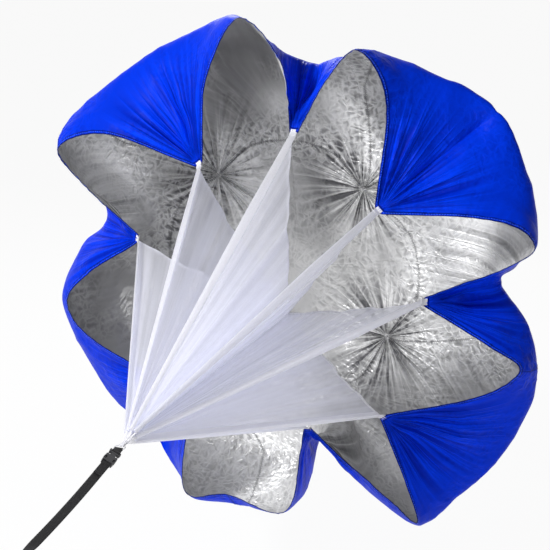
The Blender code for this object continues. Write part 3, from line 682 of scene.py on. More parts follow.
def sewn_places(positions, rows):
    """Where the cloth of the sewn panels lies on the canopy, as places round it and down its meridians.

    The crown panel's corners are turned towards the tabs and drawn in, and the corner seams slant from there.
    """
    slant = 1 - step_between(rows, 2.0, corner_turn_end)
    corners = np.abs((positions - corner_seam_lobes[0] - 0.5 + 1.0) % 2.0 - 1.0)
    draw = corner_draw * close_to(corners, corner_draw_width)
    return positions + corner_turn * slant, rows - draw * np.where(rows < 2.0, rows / 2, slant)


def sample_canopy():
    """The canopy's middle surface on a fine grid, with two columns more than once round."""
    columns = np.arange(LOBES * samples_per_lobe + 3) / samples_per_lobe
    rows = np.linspace(0.0, 6.0 + 2 * probe, sample_rows)
    return np.array([meridian(math.floor(place) % LOBES, place % 1.0, rows) for place in columns])


def cloth_points(positions, rows):
    """Points of the canopy's middle surface at places of the sewn panels."""
    positions, rows = sewn_places(*np.broadcast_arrays(np.asarray(positions, float), np.asarray(rows, float)))
    column = positions % LOBES * samples_per_lobe
    row = rows / (6.0 + 2 * probe) * (sample_rows - 1)
    left = np.floor(column).astype(int)
    low = np.clip(np.floor(row).astype(int), 0, sample_rows - 2)
    u, v = (column - left)[..., None], (row - low)[..., None]
    return ((canopy_grid[left, low] * (1 - u) + canopy_grid[left + 1, low] * u) * (1 - v)
            + (canopy_grid[left, low + 1] * (1 - u) + canopy_grid[left + 1, low + 1] * u) * v)


def tab_fans(points):
    """For each tab: how far points lie from it, their angle to its middle line, and how far beside that."""
    fans = []
    for lobe in range(LOBES):
        away = points - hem_station(4 * lobe)
        reach = np.linalg.norm(away, axis=-1)
        aside = away @ tab_tangent(lobe)
        fans.append((reach, np.arctan2(aside, np.sqrt(np.maximum(reach ** 2 - aside ** 2, 0.0))), aside))
    return fans


def past_tab(reach):
    """0 where a tab holds the cloth flat, and 1 where its pleats are full."""
    return np.clip((reach - fold_start) / (fold_full - fold_start), 0.0, 1.0)


def nearest_fan(fans, parity):
    """Reach and angle from the nearest tab of even or odd number, with a number that tells the tabs apart."""
    chosen = fans[parity::2]
    near = np.array([fan[0] for fan in chosen]).argmin(axis=0)[None]
    reach, angle = (np.take_along_axis(np.array([fan[k] for fan in chosen]), near, 0)[0] for k in (0, 1))
    return reach, angle, near[0] * 3.7 + parity


def star_fan(points):
    """Reach from the nearest corner of the crown panel, and the direction from it as a cosine and a sine."""
    found = []
    for lobe in corner_seam_lobes:
        away = points - cloth_points(lobe + 0.5, 2.0)
        down = unit(cloth_points(lobe + 0.5, 2.05) - cloth_points(lobe + 0.5, 1.95))
        along = unit(np.cross(down, (0.0, 1.0, 0.0)))
        reach = np.maximum(np.linalg.norm(away, axis=-1), 1e-6)
        found.append(np.stack((reach, away @ along / reach, away @ down / reach)))
    found = np.array(found)
    near = found[:, 0].argmin(axis=0)
    return np.take_along_axis(found, near[None, None], 0)[0]


def ridges(size, seed, *places):
    """Creases where smooth noise crosses nought: 1 on a crease, and less beside it."""
    found = noise(np.stack(np.broadcast_arrays(*places), axis=-1), size, seed)
    return 1.0 - 2.0 * np.sqrt(found ** 2 + ridge_softness)


def ridge_layer(layer, *places):
    height, size, seed = layer
    return height * ridges(size, seed, *places)


def tab_pleats(fans):
    """Pleats out of the tabs, from broad folds to fine creases, with a deep valley behind each tab."""
    lift = 0.0
    for lobe, (reach, angle, aside) in enumerate(fans):
        waves = np.cos(folds_per_radian * angle)
        lift = lift + fold_height * close_to(reach, fold_fade) * past_tab(reach) * waves
        end = hollow_ends[lobe]
        window = step_between(reach, *hollow_rise) * (1 - step_between(reach, end - hollow_fall_length, end))
        beside = np.sqrt(aside ** 2 + valley_round ** 2) - valley_round
        lift = lift - valley_depth * window * np.exp(-beside / (valley_half_width + valley_spread * reach))
        hollow = close_to(aside, hollow_half_width_share * reach + hollow_least_half_width)
        lift = lift - hollow_depth * hollow_depth_shares[lobe] * window * hollow
    for parity in (0, 1):
        reach, angle, which = nearest_fan(fans, parity)
        window = np.minimum(reach / tab_pleats_rise, 1.0) * (1 - step_between(reach, *tab_pleats_fall))
        for height, cell, seed in tab_pleats_layers:
            lift = lift + height * window * ridges(1.0, seed, angle / cell, reach * tab_pleats_run, which)
    return lift


def fold_offset(base, turn, from_seam, from_hem, from_corner):
    """How far folds, pleats, puckers and crumples lift the cloth."""
    fans = tab_fans(base)
    calm = 1 - hem_calm * close_to(from_hem, hem_calm_width)
    lift = tab_pleats(fans) * calm
    reach, cosine, sine = star_fan(base)
    window = np.minimum(reach / star_pleats_rise, 1.0) * close_to(reach, star_pleats_reach)
    lift = lift + window * ridge_layer(star_pleats_layer, cosine, sine, reach * star_pleats_run)
    across, up = np.cos(turn), np.sin(turn)
    lift = lift + close_to(from_seam, seam_pucker_reach) * ridge_layer(
        seam_pucker_layer, across * crown_seam_radius, up * crown_seam_radius, from_seam * seam_pucker_run)
    lift = lift + close_to(from_hem - hem_pucker_line, hem_pucker_reach) * ridge_layer(
        hem_pucker_layer, across * hem_ring_radius, up * hem_ring_radius, from_hem * hem_pucker_run)
    lift = lift + close_to(from_corner, corner_pucker_reach) * ridge_layer(
        corner_pucker_layer, from_seam, from_corner * corner_pucker_run, 0.0)
    patches = step_between(noise(base, *crumple_patches), *crumple_patch_range)
    busy = crumple_least_share + (1 - crumple_least_share) * patches
    by_seam = np.maximum(busy, close_to(np.minimum(from_seam, from_corner), crumple_seam_reach))
    clear = calm
    for fan in fans:
        clear = clear * past_tab(fan[0])
    for (height, size, seed), share in zip(crumple_layers, (1.0, busy, by_seam)):
        lift = lift - height * np.abs(noise(base, size, seed)) * share * clear
    return lift


def surface_normals(grid, closed=False):
    """Unit normals that point out of the canopy."""
    if closed:
        along = np.roll(grid, -1, axis=0) - np.roll(grid, 1, axis=0)
    else:
        along = np.gradient(grid, axis=0)
    normal = unit(np.cross(along, np.gradient(grid, axis=1)))
    middle = grid.reshape(-1, 3).mean(axis=0) - crown_centre(0.0)
    outward = np.sign(np.sum(normal.reshape(-1, 3).mean(axis=0) * middle))
    return normal * outward


def graded(start, end, count, fine_at_start, fine_at_end, step):
    """Places from start to end, with some fine steps at either end and even steps between."""
    low = start + step * np.arange(fine_at_start)
    high = end - step * np.arange(fine_at_end)[::-1]
    middle = np.linspace(start + step * fine_at_start, end - step * fine_at_end,
                         count - fine_at_start - fine_at_end)
    return np.concatenate((low, middle, high))


def panel_base(positions, places):
    """The smooth panel and its normals, at positions round the canopy and places down each meridian.

    The normals come from a grid that reaches past the panel's edges, so that two panels agree at their seam.
    """
    wide = np.concatenate((positions[:1] - probe, positions, positions[-1:] + probe))
    long = np.concatenate((places[:1] - probe, places, places[-1:] + probe))
    grid = cloth_points(wide[:, None], long[None, :])
    return grid[1:-1, 1:-1], surface_normals(grid)[1:-1, 1:-1]


def running_length(grid, axis):
    """Distance along the cloth from its first row or its first column."""
    steps = np.linalg.norm(np.diff(grid, axis=axis), axis=2)
    return np.concatenate((np.zeros_like(steps.take([0], axis=axis)), np.cumsum(steps, axis=axis)), axis=axis)


def wall_thickness(from_seam, from_hem, from_corner):
    """The cloth's thickness: flat-felled at the seams, and folded with a sewn groove at the hem."""
    felled = np.interp(np.minimum(from_seam, from_corner), *zip(*seam_profile))
    hem = np.interp(from_hem, *zip(*hem_profile))
    return np.where(from_hem < hem_profile[-1][0], hem, felled)


def cloth_shell(name, grid, thickness, outer, inner, slots, closed=False, pole=None):
    """One panel as a thin closed shell: blue face outside, silver face inside."""
    columns, rows = grid.shape[:2]
    normals = surface_normals(grid, closed)
    offset = normals * (thickness / 2)[:, :, None]
    points = np.vstack(((grid + offset).reshape(-1, 3), (grid - offset).reshape(-1, 3)))
    half = columns * rows
    faces = grid_faces(columns, rows, 0, False, closed, True)
    faces += grid_faces(columns, rows, half, True, closed, True)
    face_slots = [0] * (len(faces) // 2) + list(slots)
    if closed:
        for i in range(columns):
            j = (i + 1) % columns
            faces.append((i * rows + rows - 1, half + i * rows + rows - 1, half + j * rows + rows - 1,
                          j * rows + rows - 1))
            face_slots.append(0)
        tip = len(points)
        lift = np.array((0.0, cloth_thickness / 2, 0.0))
        points = np.vstack((points, pole + lift, pole - lift))
        for i in range(columns):
            j = (i + 1) % columns
            faces.append((tip, i * rows, j * rows))
            faces.append((tip + 1, half + j * rows, half + i * rows))
            face_slots += [0, 1]
    else:
        rim = [i * rows for i in range(columns)]
        rim += [(columns - 1) * rows + j for j in range(1, rows)]
        rim += [i * rows + rows - 1 for i in range(columns - 2, -1, -1)]
        rim += list(range(rows - 2, 0, -1))
        for here, there in zip(rim, rim[1:] + rim[:1]):
            faces.append((here, half + here, half + there, there))
            face_slots.append(0)
    run = running_length(grid, 0)
    uvs = np.stack((np.broadcast_to(run[:, rows // 2][:, None], run.shape), running_length(grid, 1)), axis=-1)
    uvs = np.vstack((uvs.reshape(-1, 2),) * 2 + (((0.0, 0.0), (0.0, 0.0)) if closed else ()))
    made = add_mesh(name, points + np.array(chute_place), faces, [outer, inner], face_slots, uvs)
    made.data.set_sharp_from_angle(angle=math.radians(cloth_sharp_angle_deg))
    face_outwards(made)
    return made


def paint(item, name, values):
    """Values for each point of a panel, the same on both faces of its shell and nought on its poles."""
    values = values.reshape(-1, *values.shape[2:])
    poles = len(item.data.vertices) - 2 * len(values)
    set_attribute(item, name, np.concatenate((values, values, np.zeros((poles, *values.shape[1:])))))


def shading_attributes(item, base, from_seam, from_hem, from_corner):
    """Where the coat is slack and its silver face is painted lighter or darker, where fine pleats run, and
    where the folded edges get a painted shadow.

    The pleats run out of the tabs and the crown panel's corners, and across the seams and the hem.
    """
    # Slack zones: the crumples rise there, and the silver face is painted lighter or darker as painted light
    # and shade
    slack_and_painted_light = sum(amount * close_to(np.linalg.norm(base - cloth_points(place, row), axis=-1), radius)
                for place, row, radius, amount in slack_and_painted_light_zones)
    paint(item, "slack_and_painted_light", slack_and_painted_light)
    fans = tab_fans(base)
    for parity, name in enumerate(("fan_even", "fan_odd")):
        reach, angle, which = nearest_fan(fans, parity)
        nearer = step_between(nearest_fan(fans, 1 - parity)[0] - reach, *fan_border)
        fade = (1 - step_between(reach, *fan_fall)) * (fan_far_share + (1 - fan_far_share) * nearer)
        fade = fade + np.maximum(slack_and_painted_light, 0.0) * (1 - step_between(reach, *fan_slack_fall)) * nearer
        paint(item, name, np.stack((angle, reach, which), axis=-1))
        paint(item, name + "_weight", fan_weight * step_between(reach, *fan_rise) * fade)
    reach, cosine, sine = star_fan(base)
    paint(item, "star", np.stack((cosine, sine, reach), axis=-1))
    paint(item, "star_weight", star_weight * step_between(reach, *star_rise) * close_to(reach, star_reach))
    sewn = np.minimum(from_seam, from_corner)
    paint(item, "seam_weight", close_to(sewn, seam_crease_reach))
    paint(item, "hem_weight", hem_crease_weight * close_to(from_hem - hem_crease_line, hem_crease_reach))
    # Painted shadow along the folded edges of the hem and the seams, and along the hem's outer edge
    shadow = sum(amount * close_to(distance, reach) for distance, (amount, reach) in (
        (from_hem - hem_width - hem_fold_gap, hem_fold_shadow), (from_hem, hem_edge_shadow),
        (sewn, seam_edge_shadow)))
    paint(item, "painted_fold_shadow", np.minimum(shadow, 1.0))


def line_on_cloth(grid, normals, distances, wanted, lift):
    """A line of points along the cloth at one distance from an edge, lifted off its face."""
    line = []
    for points, normal, distance in zip(grid, normals, distances):
        order = np.argsort(distance)
        raised = points + normal * lift
        line.append([np.interp(wanted, distance[order], raised[order, k]) for k in range(3)])
    return np.array(line)


def finish_panel(made, node):
    place_piece(made, "chute", "coated_taffeta", node)


def seam_turn(positions):
    """The turn round the canopy at each position, for noise that closes on itself."""
    return (positions * 2 * math.pi / LOBES)[:, None]


def side_panel(index, blue, silver):
    """A side panel, and the lines that its seams and hem are sewn along."""
    start = corner_seam_lobes[index] + 0.5
    positions = graded(start, start + 2, 2 * columns_per_lobe + 1, seam_fine_columns, seam_fine_columns,
                       seam_column_step)
    places = graded(2.0, 6.0, rows_on_side, seam_fine_rows, hem_fine_rows, edge_row_step)
    base, normals = panel_base(positions, places)
    from_seam = running_length(base, 1)
    from_hem = from_seam[:, -1:] - from_seam
    across = running_length(base, 0)
    from_corner = np.minimum(across, across[-1:] - across)
    offset = fold_offset(base, seam_turn(positions), from_seam, from_hem, from_corner)
    grid = base + normals * offset[:, :, None]
    hem = np.repeat((from_hem[:-1, :-1] < hem_width).ravel(), 2)
    thickness = wall_thickness(from_seam, from_hem, from_corner)
    made = cloth_shell(f"canopy_side_panel_{index + 1}", grid, thickness, blue, silver, np.where(hem, 0, 1))
    shading_attributes(made, base, from_seam, from_hem, from_corner)
    finish_panel(made, f"side_panel_{index + 1}")
    faces = surface_normals(grid)
    left, right = slice(None, columns_per_lobe), slice(columns_per_lobe, None)
    for side, lines in ((1, sewn_outside), (-1, sewn_inside)):
        lift = side * (hem_groove / 2 + thread_radius * thread_sunk_share)
        hem_lines.append(line_on_cloth(grid, faces, from_hem, hem_stitch_line, lift))
        lift = side * (seam_thickness / 2 + thread_radius * thread_sunk_share)
        lines.append(line_on_cloth(grid, faces, from_seam, seam_stitch_line, lift))
        for part, distance in ((left, across), (right, across[-1:] - across)):
            rows = [values[part].swapaxes(0, 1)[corner_stitch_rows] for values in (grid, faces, distance)]
            lines.append(line_on_cloth(*rows, seam_stitch_line, lift))


def crown_panel(blue, silver):
    """The crown panel, and the line that its seam is sewn along."""
    positions = np.arange(columns_on_crown) * LOBES / columns_on_crown
    places = graded(2.0 / rows_on_crown, 2.0, rows_on_crown, 0, seam_fine_rows, edge_row_step)
    base, normals = panel_base(positions, places)
    down = running_length(base, 1)
    from_seam = down[:, -1:] - down
    far = np.full(from_seam.shape, no_edge)
    offset = fold_offset(base, seam_turn(positions), from_seam, far, far)
    grid = base + normals * offset[:, :, None]
    pole = crown_centre(crown_depth) + np.array((0.0, offset[:, 0].mean(), 0.0))
    slots = np.ones(columns_on_crown * (rows_on_crown - 1) * 2, int)
    made = cloth_shell("canopy_crown_panel", grid, wall_thickness(from_seam, far, far), blue, silver, slots,
                       True, pole)
    shading_attributes(made, base, from_seam, far, far)
    finish_panel(made, "crown_panel")
    faces = surface_normals(grid, True)
    for side, lines in ((1, sewn_outside), (-1, sewn_inside)):
        lift = side * (seam_thickness / 2 + thread_radius * thread_sunk_share)
        line = line_on_cloth(grid, faces, from_seam, seam_stitch_line, lift)
        lines.append(np.vstack((line, line[:1])))


# Stitches

def stitch_tree():
    """Thread along a line: one short rounded stitch for each pitch."""
    tree = bpy.data.node_groups.new("stitches", "GeometryNodeTree")
    tree.interface.new_socket("Line", in_out="INPUT", socket_type="NodeSocketGeometry")
    for name in ("Pitch", "Half length", "Thread radius"):
        tree.interface.new_socket(name, in_out="INPUT", socket_type="NodeSocketFloat")
    tree.interface.new_socket("Finish", in_out="INPUT", socket_type="NodeSocketMaterial")
    tree.interface.new_socket("Stitches", in_out="OUTPUT", socket_type="NodeSocketGeometry")
    given = add_node(tree, "NodeGroupInput").outputs
    curve = add_node(tree, "GeometryNodeMeshToCurve", {"Mesh": given["Line"]})
    even = add_node(tree, "GeometryNodeResampleCurve", {"Curve": curve, "Length": given["Pitch"]},
                    mode="LENGTH")
    tangent = add_node(tree, "GeometryNodeInputTangent")
    turn = add_node(tree, "FunctionNodeAlignRotationToVector", {"Vector": tangent}, axis="Z")
    size = add_node(tree, "ShaderNodeCombineXYZ", {"X": given["Thread radius"], "Y": given["Thread radius"],
                                                   "Z": given["Half length"]})
    stitch = add_node(tree, "GeometryNodeMeshUVSphere", {"Segments": 6, "Rings": 4, "Radius": 1.0})
    placed = add_node(tree, "GeometryNodeInstanceOnPoints",
                      {"Points": even, "Instance": stitch.outputs["Mesh"], "Rotation": turn, "Scale": size})
    real = add_node(tree, "GeometryNodeRealizeInstances", {"Geometry": placed})
    smooth = add_node(tree, "GeometryNodeSetShadeSmooth", {"Geometry": real})
    dressed = add_node(tree, "GeometryNodeSetMaterial", {"Geometry": smooth, "Material": given["Finish"]})
    add_node(tree, "NodeGroupOutput", {"Stitches": dressed})
    return tree


def add_stitches(name, lines, finish):
    """Stitches along lines of points on the canopy, as one plain mesh."""
    points = np.vstack(lines) + np.array(chute_place)
    ends = np.cumsum([len(line) for line in lines])
    edges = [(k, k + 1) for k in range(len(points) - 1) if k + 1 not in ends]
    mesh = bpy.data.meshes.new(name + "_lines")
    mesh.from_pydata(points.tolist(), edges, [])
    guide = add_object(name + "_lines", mesh)
    step = guide.modifiers.new("stitches", "NODES")
    step.node_group = stitches
    sockets = {item.name: item.identifier for item in stitches.interface.items_tree if item.in_out == "INPUT"}
    for socket, value in (("Pitch", stitch_pitch), ("Half length", stitch_half_length),
                          ("Thread radius", thread_radius), ("Finish", finish)):
        step[sockets[socket]] = value
    evaluated = guide.evaluated_get(bpy.context.evaluated_depsgraph_get())
    made = add_object(name, bpy.data.meshes.new_from_object(evaluated))
    bpy.data.objects.remove(guide)
    place_piece(made, "chute", "coated_taffeta")


# Tabs, nets and the apex

def tab_directions(lobe):
    hem = hem_station(4 * lobe)
    into_cloth = unit(meridian(lobe, 0.0, 5.8)[0] - hem)
    to_apex = unit(np.array((0.0, -net_length, 0.0)) - hem)
    return hem, tab_tangent(lobe), unit(hem), into_cloth, to_apex


def hem_tab(lobe, finish):
    hem, tangent, radial, into_cloth, to_apex = tab_directions(lobe)
    axis = np.array((0.0, 1.0, 0.0))
    cloth = unit(np.array((into_cloth @ axis, into_cloth @ radial)))
    net = unit(np.array((to_apex @ axis, to_apex @ radial)))
    cloth_side = np.array((-cloth[1], cloth[0]))
    net_side = np.array((net[1], -net[0]))
    off_cloth = hem_thickness / 2 + seat_gap + tab_thickness / 2
    off_net = net_hem_thickness / 2 + seat_gap + tab_thickness / 2
    bend = (cloth_side + net_side) / (1 + cloth_side @ net_side)
    nose = net * (tab_on_net - off_net)
    leaves = [[cloth * tab_on_cloth + cloth_side * sign * off_cloth, bend * sign * off_cloth,
               nose + net_side * sign * off_net] for sign in (1, -1)]
    fold = [nose + net * off_net * math.sin(turn) + net_side * off_net * math.cos(turn)
            for turn in np.radians(np.linspace(15.0, 165.0, 11))]
    path = leaves[0] + fold + leaves[1][::-1]
    place = Matrix.Translation(Vector(chute_place) + Vector(hem)) @ Matrix(
        (tangent, axis, radial)).transposed().to_4x4()
    made = webbing(f"folded_tab_{lobe + 1}", path, tab_thickness, tab_width, finish, lambda p: place @ p,
                   0.0012)
    place_piece(made, "chute", "white_webbing", f"hem_tab_{lobe + 1}")


def net_fin_corners(lobe):
    """Four corners of half a net panel: at the centre seam and at the outer edge, first at the apex end."""
    centre = np.array((net_centre_x, -net_centre_y, net_centre_z))
    hem, _, _, _, to_apex = tab_directions(lobe)
    corner = hem + to_apex * (tab_on_net - tab_thickness)
    start = np.array((0.0, gather_end - net_length, 0.0))
    side = corner - centre
    side[1] = 0.0
    side = unit(side)
    return start, centre, start + side * gather_pleat_radius * net_apex_radius_share, corner


def net_fin_grid(lobe):
    """Points of half a net panel, from the centre seam out, with a sagging mouth edge and soft pleats."""
    inner_start, inner_end, outer_start, outer_end = net_fin_corners(lobe)
    line = unit(inner_end - inner_start)
    shares = np.linspace(0.0, 1.0, net_columns)[:, None, None]
    along = np.linspace(0.0, 1.0, net_rows)[None, :, None]
    start = inner_start + (outer_start - inner_start) * shares
    end = inner_end + (outer_end - inner_end) * shares - line * net_mouth_sag * 4 * shares * (1 - shares)
    grid = start + (end - start) * along
    normal = unit(np.cross(outer_end - inner_end, line))
    wave = sum(amount * np.sin(2 * math.pi * (count * shares + shift * lobe))
               for amount, count, shift in net_waves)
    lift = net_pleat_height * wave * np.sin(math.pi * shares) * along ** net_pleat_growth
    soft = noise(grid + 5.0 * lobe, *net_soft_layer)[:, :, None]
    lift += net_pleat_height * soft * shares * (1 - shares) * 4 * along
    return grid + normal * lift, normal


def net_strip(grid, normal, width):
    """A folded hem along the last point of each line of a grid."""
    steps = np.linspace(0.0, 1.0, hem_columns)
    lines = []
    for points in grid:
        points = points[::-1]
        from_edge = np.concatenate(((0.0,), np.cumsum(np.linalg.norm(np.diff(points, axis=0), axis=1))))
        reach = min(width, from_edge[-1] * 0.9)
        lines.append([[np.interp(reach * step, from_edge, points[:, k]) for k in range(3)] for step in steps])
    lift = net_hem_thickness * np.minimum(1.0, 3 * steps)[None, :, None]
    return np.array(lines) + normal.reshape(1, 1, 3) * lift


def net_edge_roll(line, tangent):
    """The panel's outer hem, gathered as wide as its tab and held across the panel."""
    along = np.linspace(0.0, 1.0, len(line))
    halves = (net_roll_start, net_roll_width / 2, tab_width / 2)
    half = np.interp(along, (0.0, net_roll_widest, 1.0), halves)[:, None, None]
    sides = np.linspace(-1.0, 1.0, hem_columns)[None, :, None]
    inward = unit(np.array((0.0, line[-1][1], 0.0)) - line[-1])
    return line[:, None, :] + tangent * half * sides + inward * net_roll_depth * (sides ** 2 - 0.5)


def net_panel(index, finish, hem_finish):
    """One big triangle of net, from one tab through the centre seam to the opposite tab."""
    points, faces, uvs, slots, creases, grids = [], [], [], [], [], []

    def add_part(grid, flip, slot, across, along, crease):
        start = len(points)
        points.extend(grid.reshape(-1, 3))
        made_faces = grid_faces(grid.shape[0], grid.shape[1], start, flip)
        faces.extend(made_faces)
        slots.extend([slot] * len(made_faces))
        spread = [np.broadcast_to(value, grid.shape[:2]).ravel() for value in (across, along, *crease)]
        uvs.extend(np.stack(spread[:2], axis=-1))
        creases.extend(np.stack((spread[2], spread[3], np.full(len(spread[2]), 2.7 * index)), axis=-1))

    for lobe, sign in ((index, 1), (index + LOBES // 2, -1)):
        grid, normal = net_fin_grid(lobe)
        grids.append(grid)
        inner_start, inner_end, _, outer_end = net_fin_corners(lobe)
        share = np.linspace(0.0, 1.0, net_columns)[:, None]
        length = np.linspace(0.0, np.linalg.norm(inner_end - inner_start), net_rows)[None]
        width = np.linalg.norm(outer_end - inner_end)
        across = np.linspace(0.0, net_hem_width, hem_columns)[None]
        add_part(grid, sign < 0, 0, share * width * sign, length, (share * sign, length))
        strip = net_strip(grid.transpose(1, 0, 2), normal, net_hem_width)
        add_part(strip, sign < 0, 1, across, length.T, (sign * 1.0, length.T))
        roll = net_edge_roll(grid[-1], tab_tangent(lobe))
        add_part(roll, sign > 0, 1, across, length.T, (sign * 1.0, length.T))
        strip = net_strip(grid, normal, net_mouth_hem_width)
        add_part(strip, sign < 0, 1, across, share * width, (share * sign, 1.0))
    made = add_mesh(f"net_panel_{index + 1}", np.array(points) + np.array(chute_place), faces,
                    [finish, hem_finish], slots, uvs)
    set_attribute(made, "from_apex", np.array(points)[:, 1] + net_length)
    set_attribute(made, "crease", creases)
    place_piece(made, "chute", "nylon_tulle", f"net_fin_{index + 1}", f"net_fin_{index + 1 + LOBES // 2}")
    width = sum(float(np.linalg.norm(grid[-1, -1] - grid[0, -1])) for grid in grids)
    length = float(np.linalg.norm(grids[0][0, -1] - grids[0][0, 0]))


def net_stack(finish):
    """The eight net corners, stacked in the apex loop and pleated outwards towards the panels."""
    wire_clear = ring_wire / 2 + seat_gap * 2 + apex_loop_thickness
    count = gather_points
    turns = np.linspace(0.0, 2 * math.pi, count, endpoint=False)
    stretch = (np.abs(np.cos(turns)) ** 4 + np.abs(np.sin(turns)) ** 4) ** -0.25
    flat = np.stack((gather_width / 2 * np.cos(turns), ring_wire / 2 * np.sin(turns)), axis=1)
    flat *= stretch[:, None]
    reach = np.full(count, gather_core_radius)
    for lobe in range(LOBES):
        away = (np.degrees(turns) - station(4 * lobe)[0] + 180.0) % 360.0 - 180.0
        reach += (gather_pleat_radius - gather_core_radius) * close_to(away, gather_pleat_half_angle_deg)
    star = np.stack((np.cos(turns), np.sin(turns)), axis=1) * reach[:, None]
    distances = np.linspace(wire_clear, gather_end, gather_rings)
    points = []
    for distance in distances:
        spread = max(0.0, (distance - gather_swell_start) / (gather_end - gather_swell_start))
        ring = flat + (star - flat) * spread
        ring = ring * (1 + gather_crinkle * np.sin(11 * turns + 90 * distance))[:, None]
        points += [(x, distance - net_length, z) for x, z in ring]
    uvs = [(k % count / count * 0.06, k // count * 0.0015) for k in range(len(points))]
    made = add_mesh("net_corner_stack", np.array(points) + np.array(chute_place),
                    tube_faces(count, len(distances)), [finish], uvs=uvs)
    face_outwards(made)
    set_attribute(made, "from_apex", np.full(len(points), 0.0))
    set_attribute(made, "crease", np.array(points) * 20.0)
    place_piece(made, "chute", "nylon_tulle", "net_gather")


def apex_webbing_loop(finish):
    middle = ring_wire / 2 + seat_gap + apex_loop_thickness / 2
    nose = math.sqrt(ring_half_width ** 2 - (apex_loop_width / 2) ** 2) - ring_half_width
    bow = arc((nose, 0.0), middle, 90.0, 270.0, 20)
    path = [(apex_leg_length, middle)] + bow + [(apex_leg_length, -middle)]
    place = Matrix.Translation(Vector(chute_place) - Vector((0.0, net_length, 0.0)))
    made = webbing("apex_webbing_loop", path, apex_loop_thickness, apex_loop_width, finish,
                   lambda p: place @ p, 0.001)
    place_piece(made, "chute", "white_webbing", "apex_loop")


# Materials

def coated_taffeta(name, shadow, dark, bright, metallic, roughness, specular, relief_height, painted_light_share):
    """Polyester taffeta with a thin coat: a close plain weave that creases sharply and keeps its creases.

    The creases run out of the tabs and the crown's corners, along the pull of the cloth, and lie crumpled
    between them. Those under 10 mm are drawn here, and the larger ones are in the mesh. Their height is also
    painted into the colour: painted shade in the creases and painted highlight on their ridges.
    """
    made, tree, shader = new_material(name)
    place = add_node(tree, "ShaderNodeTexCoord").outputs["Object"]
    run = add_node(tree, "ShaderNodeUVMap", uv_map="surface")
    patches = add_node(tree, "ShaderNodeTexNoise", {"Vector": place, "Scale": 4.5, "Detail": 2.0})
    spread = add_node(tree, "ShaderNodeMapRange", {"Value": patches.outputs["Fac"], "From Min": 0.40,
                                                   "From Max": 0.62, "To Min": 0.02, "To Max": 0.17})
    bend = add_node(tree, "ShaderNodeTexNoise", {"Vector": place, "Scale": 16.0, "Detail": 3.0})
    bent = add_node(tree, "ShaderNodeMix", {"Factor": 0.08, "A": place, "B": bend.outputs["Color"]},
                    data_type="VECTOR")
    near = add_node(tree, "ShaderNodeAttribute", attribute_name="seam_weight")
    sewn = add_node(tree, "ShaderNodeMath", {0: near.outputs["Fac"], 1: 0.26, 2: spread},
                    operation="MULTIPLY_ADD")
    slack_and_painted_light = add_node(tree, "ShaderNodeAttribute", attribute_name="slack_and_painted_light")
    busy = add_node(tree, "ShaderNodeMath", {0: slack_and_painted_light.outputs["Fac"], 1: 0.12, 2: sewn},
                    operation="MULTIPLY_ADD", use_clamp=True)
    facets = add_node(tree, "ShaderNodeTexVoronoi", {"Vector": bent.outputs["Result"], "Scale": 44.0},
                      feature="DISTANCE_TO_EDGE")
    roofs = add_node(tree, "ShaderNodeMapRange", {"Value": facets.outputs["Distance"], "From Max": 0.32,
                                                  "To Min": 1.5, "To Max": -0.6})
    height = add_node(tree, "ShaderNodeMath", {0: roofs, 1: busy}, operation="MULTIPLY")
    for where, scale, weight in (
            (run, (30.0, 5.0, 1.0), spread),
            ("fan_even", (17.0, 1.6, 1.0), "fan_even_weight"),
            ("fan_odd", (17.0, 1.6, 1.0), "fan_odd_weight"),
            ("star", (7.0, 7.0, 3.0), "star_weight"),
            (run, (75.0, 14.0, 1.0), "hem_weight")):
        if isinstance(where, str):
            where = add_node(tree, "ShaderNodeAttribute", attribute_name=where).outputs["Vector"]
        if isinstance(weight, str):
            weight = add_node(tree, "ShaderNodeAttribute", attribute_name=weight).outputs["Fac"]
        turned = add_node(tree, "ShaderNodeMapping", {"Vector": where, "Scale": scale})
        crease = add_node(tree, "ShaderNodeTexNoise",
                          {"Vector": turned, "Scale": 1.0, "Detail": 3.0, "Roughness": 0.55,
                           "Distortion": 0.4, "Offset": 1.0, "Gain": 1.0}, noise_type="RIDGED_MULTIFRACTAL")
        centred = add_node(tree, "ShaderNodeMath", {0: crease.outputs["Fac"], 1: 1.0}, operation="SUBTRACT")
        height = add_node(tree, "ShaderNodeMath", {0: centred, 1: weight, 2: height},
                          operation="MULTIPLY_ADD")
    relief = add_node(tree, "ShaderNodeBump", {"Height": height, "Strength": 1.0, "Distance": relief_height})
    # Painted light and shade: the tone follows the crease height, and the slack zones paint the face lighter
    # or darker
    painted_light_level = add_node(tree, "ShaderNodeMath", {0: slack_and_painted_light.outputs["Fac"], 1: painted_light_share, 2: height},
                       operation="MULTIPLY_ADD")
    shade = add_node(tree, "ShaderNodeMapRange", {"Value": painted_light_level, "From Min": -0.7})
    tone = add_node(tree, "ShaderNodeMix", {"Factor": shade, "A": linear(dark), "B": linear(bright)},
                    data_type="RGBA")
    # Painted shadow at the folded edges: the tone is mixed towards the shadow colour there
    edge = add_node(tree, "ShaderNodeAttribute", attribute_name="painted_fold_shadow")
    depth = add_node(tree, "ShaderNodeMath", {0: edge.outputs["Fac"], 1: 0.90}, operation="MULTIPLY")
    fold_shadowed_tone = add_node(tree, "ShaderNodeMix", {"Factor": depth, "A": tone.outputs["Result"],
                                             "B": linear(shadow)}, data_type="RGBA")
    connect(tree, shader, {"Base Color": fold_shadowed_tone.outputs["Result"], "Normal": relief,
                           "Metallic": metallic, "Roughness": roughness, "Specular IOR Level": specular})
    return made


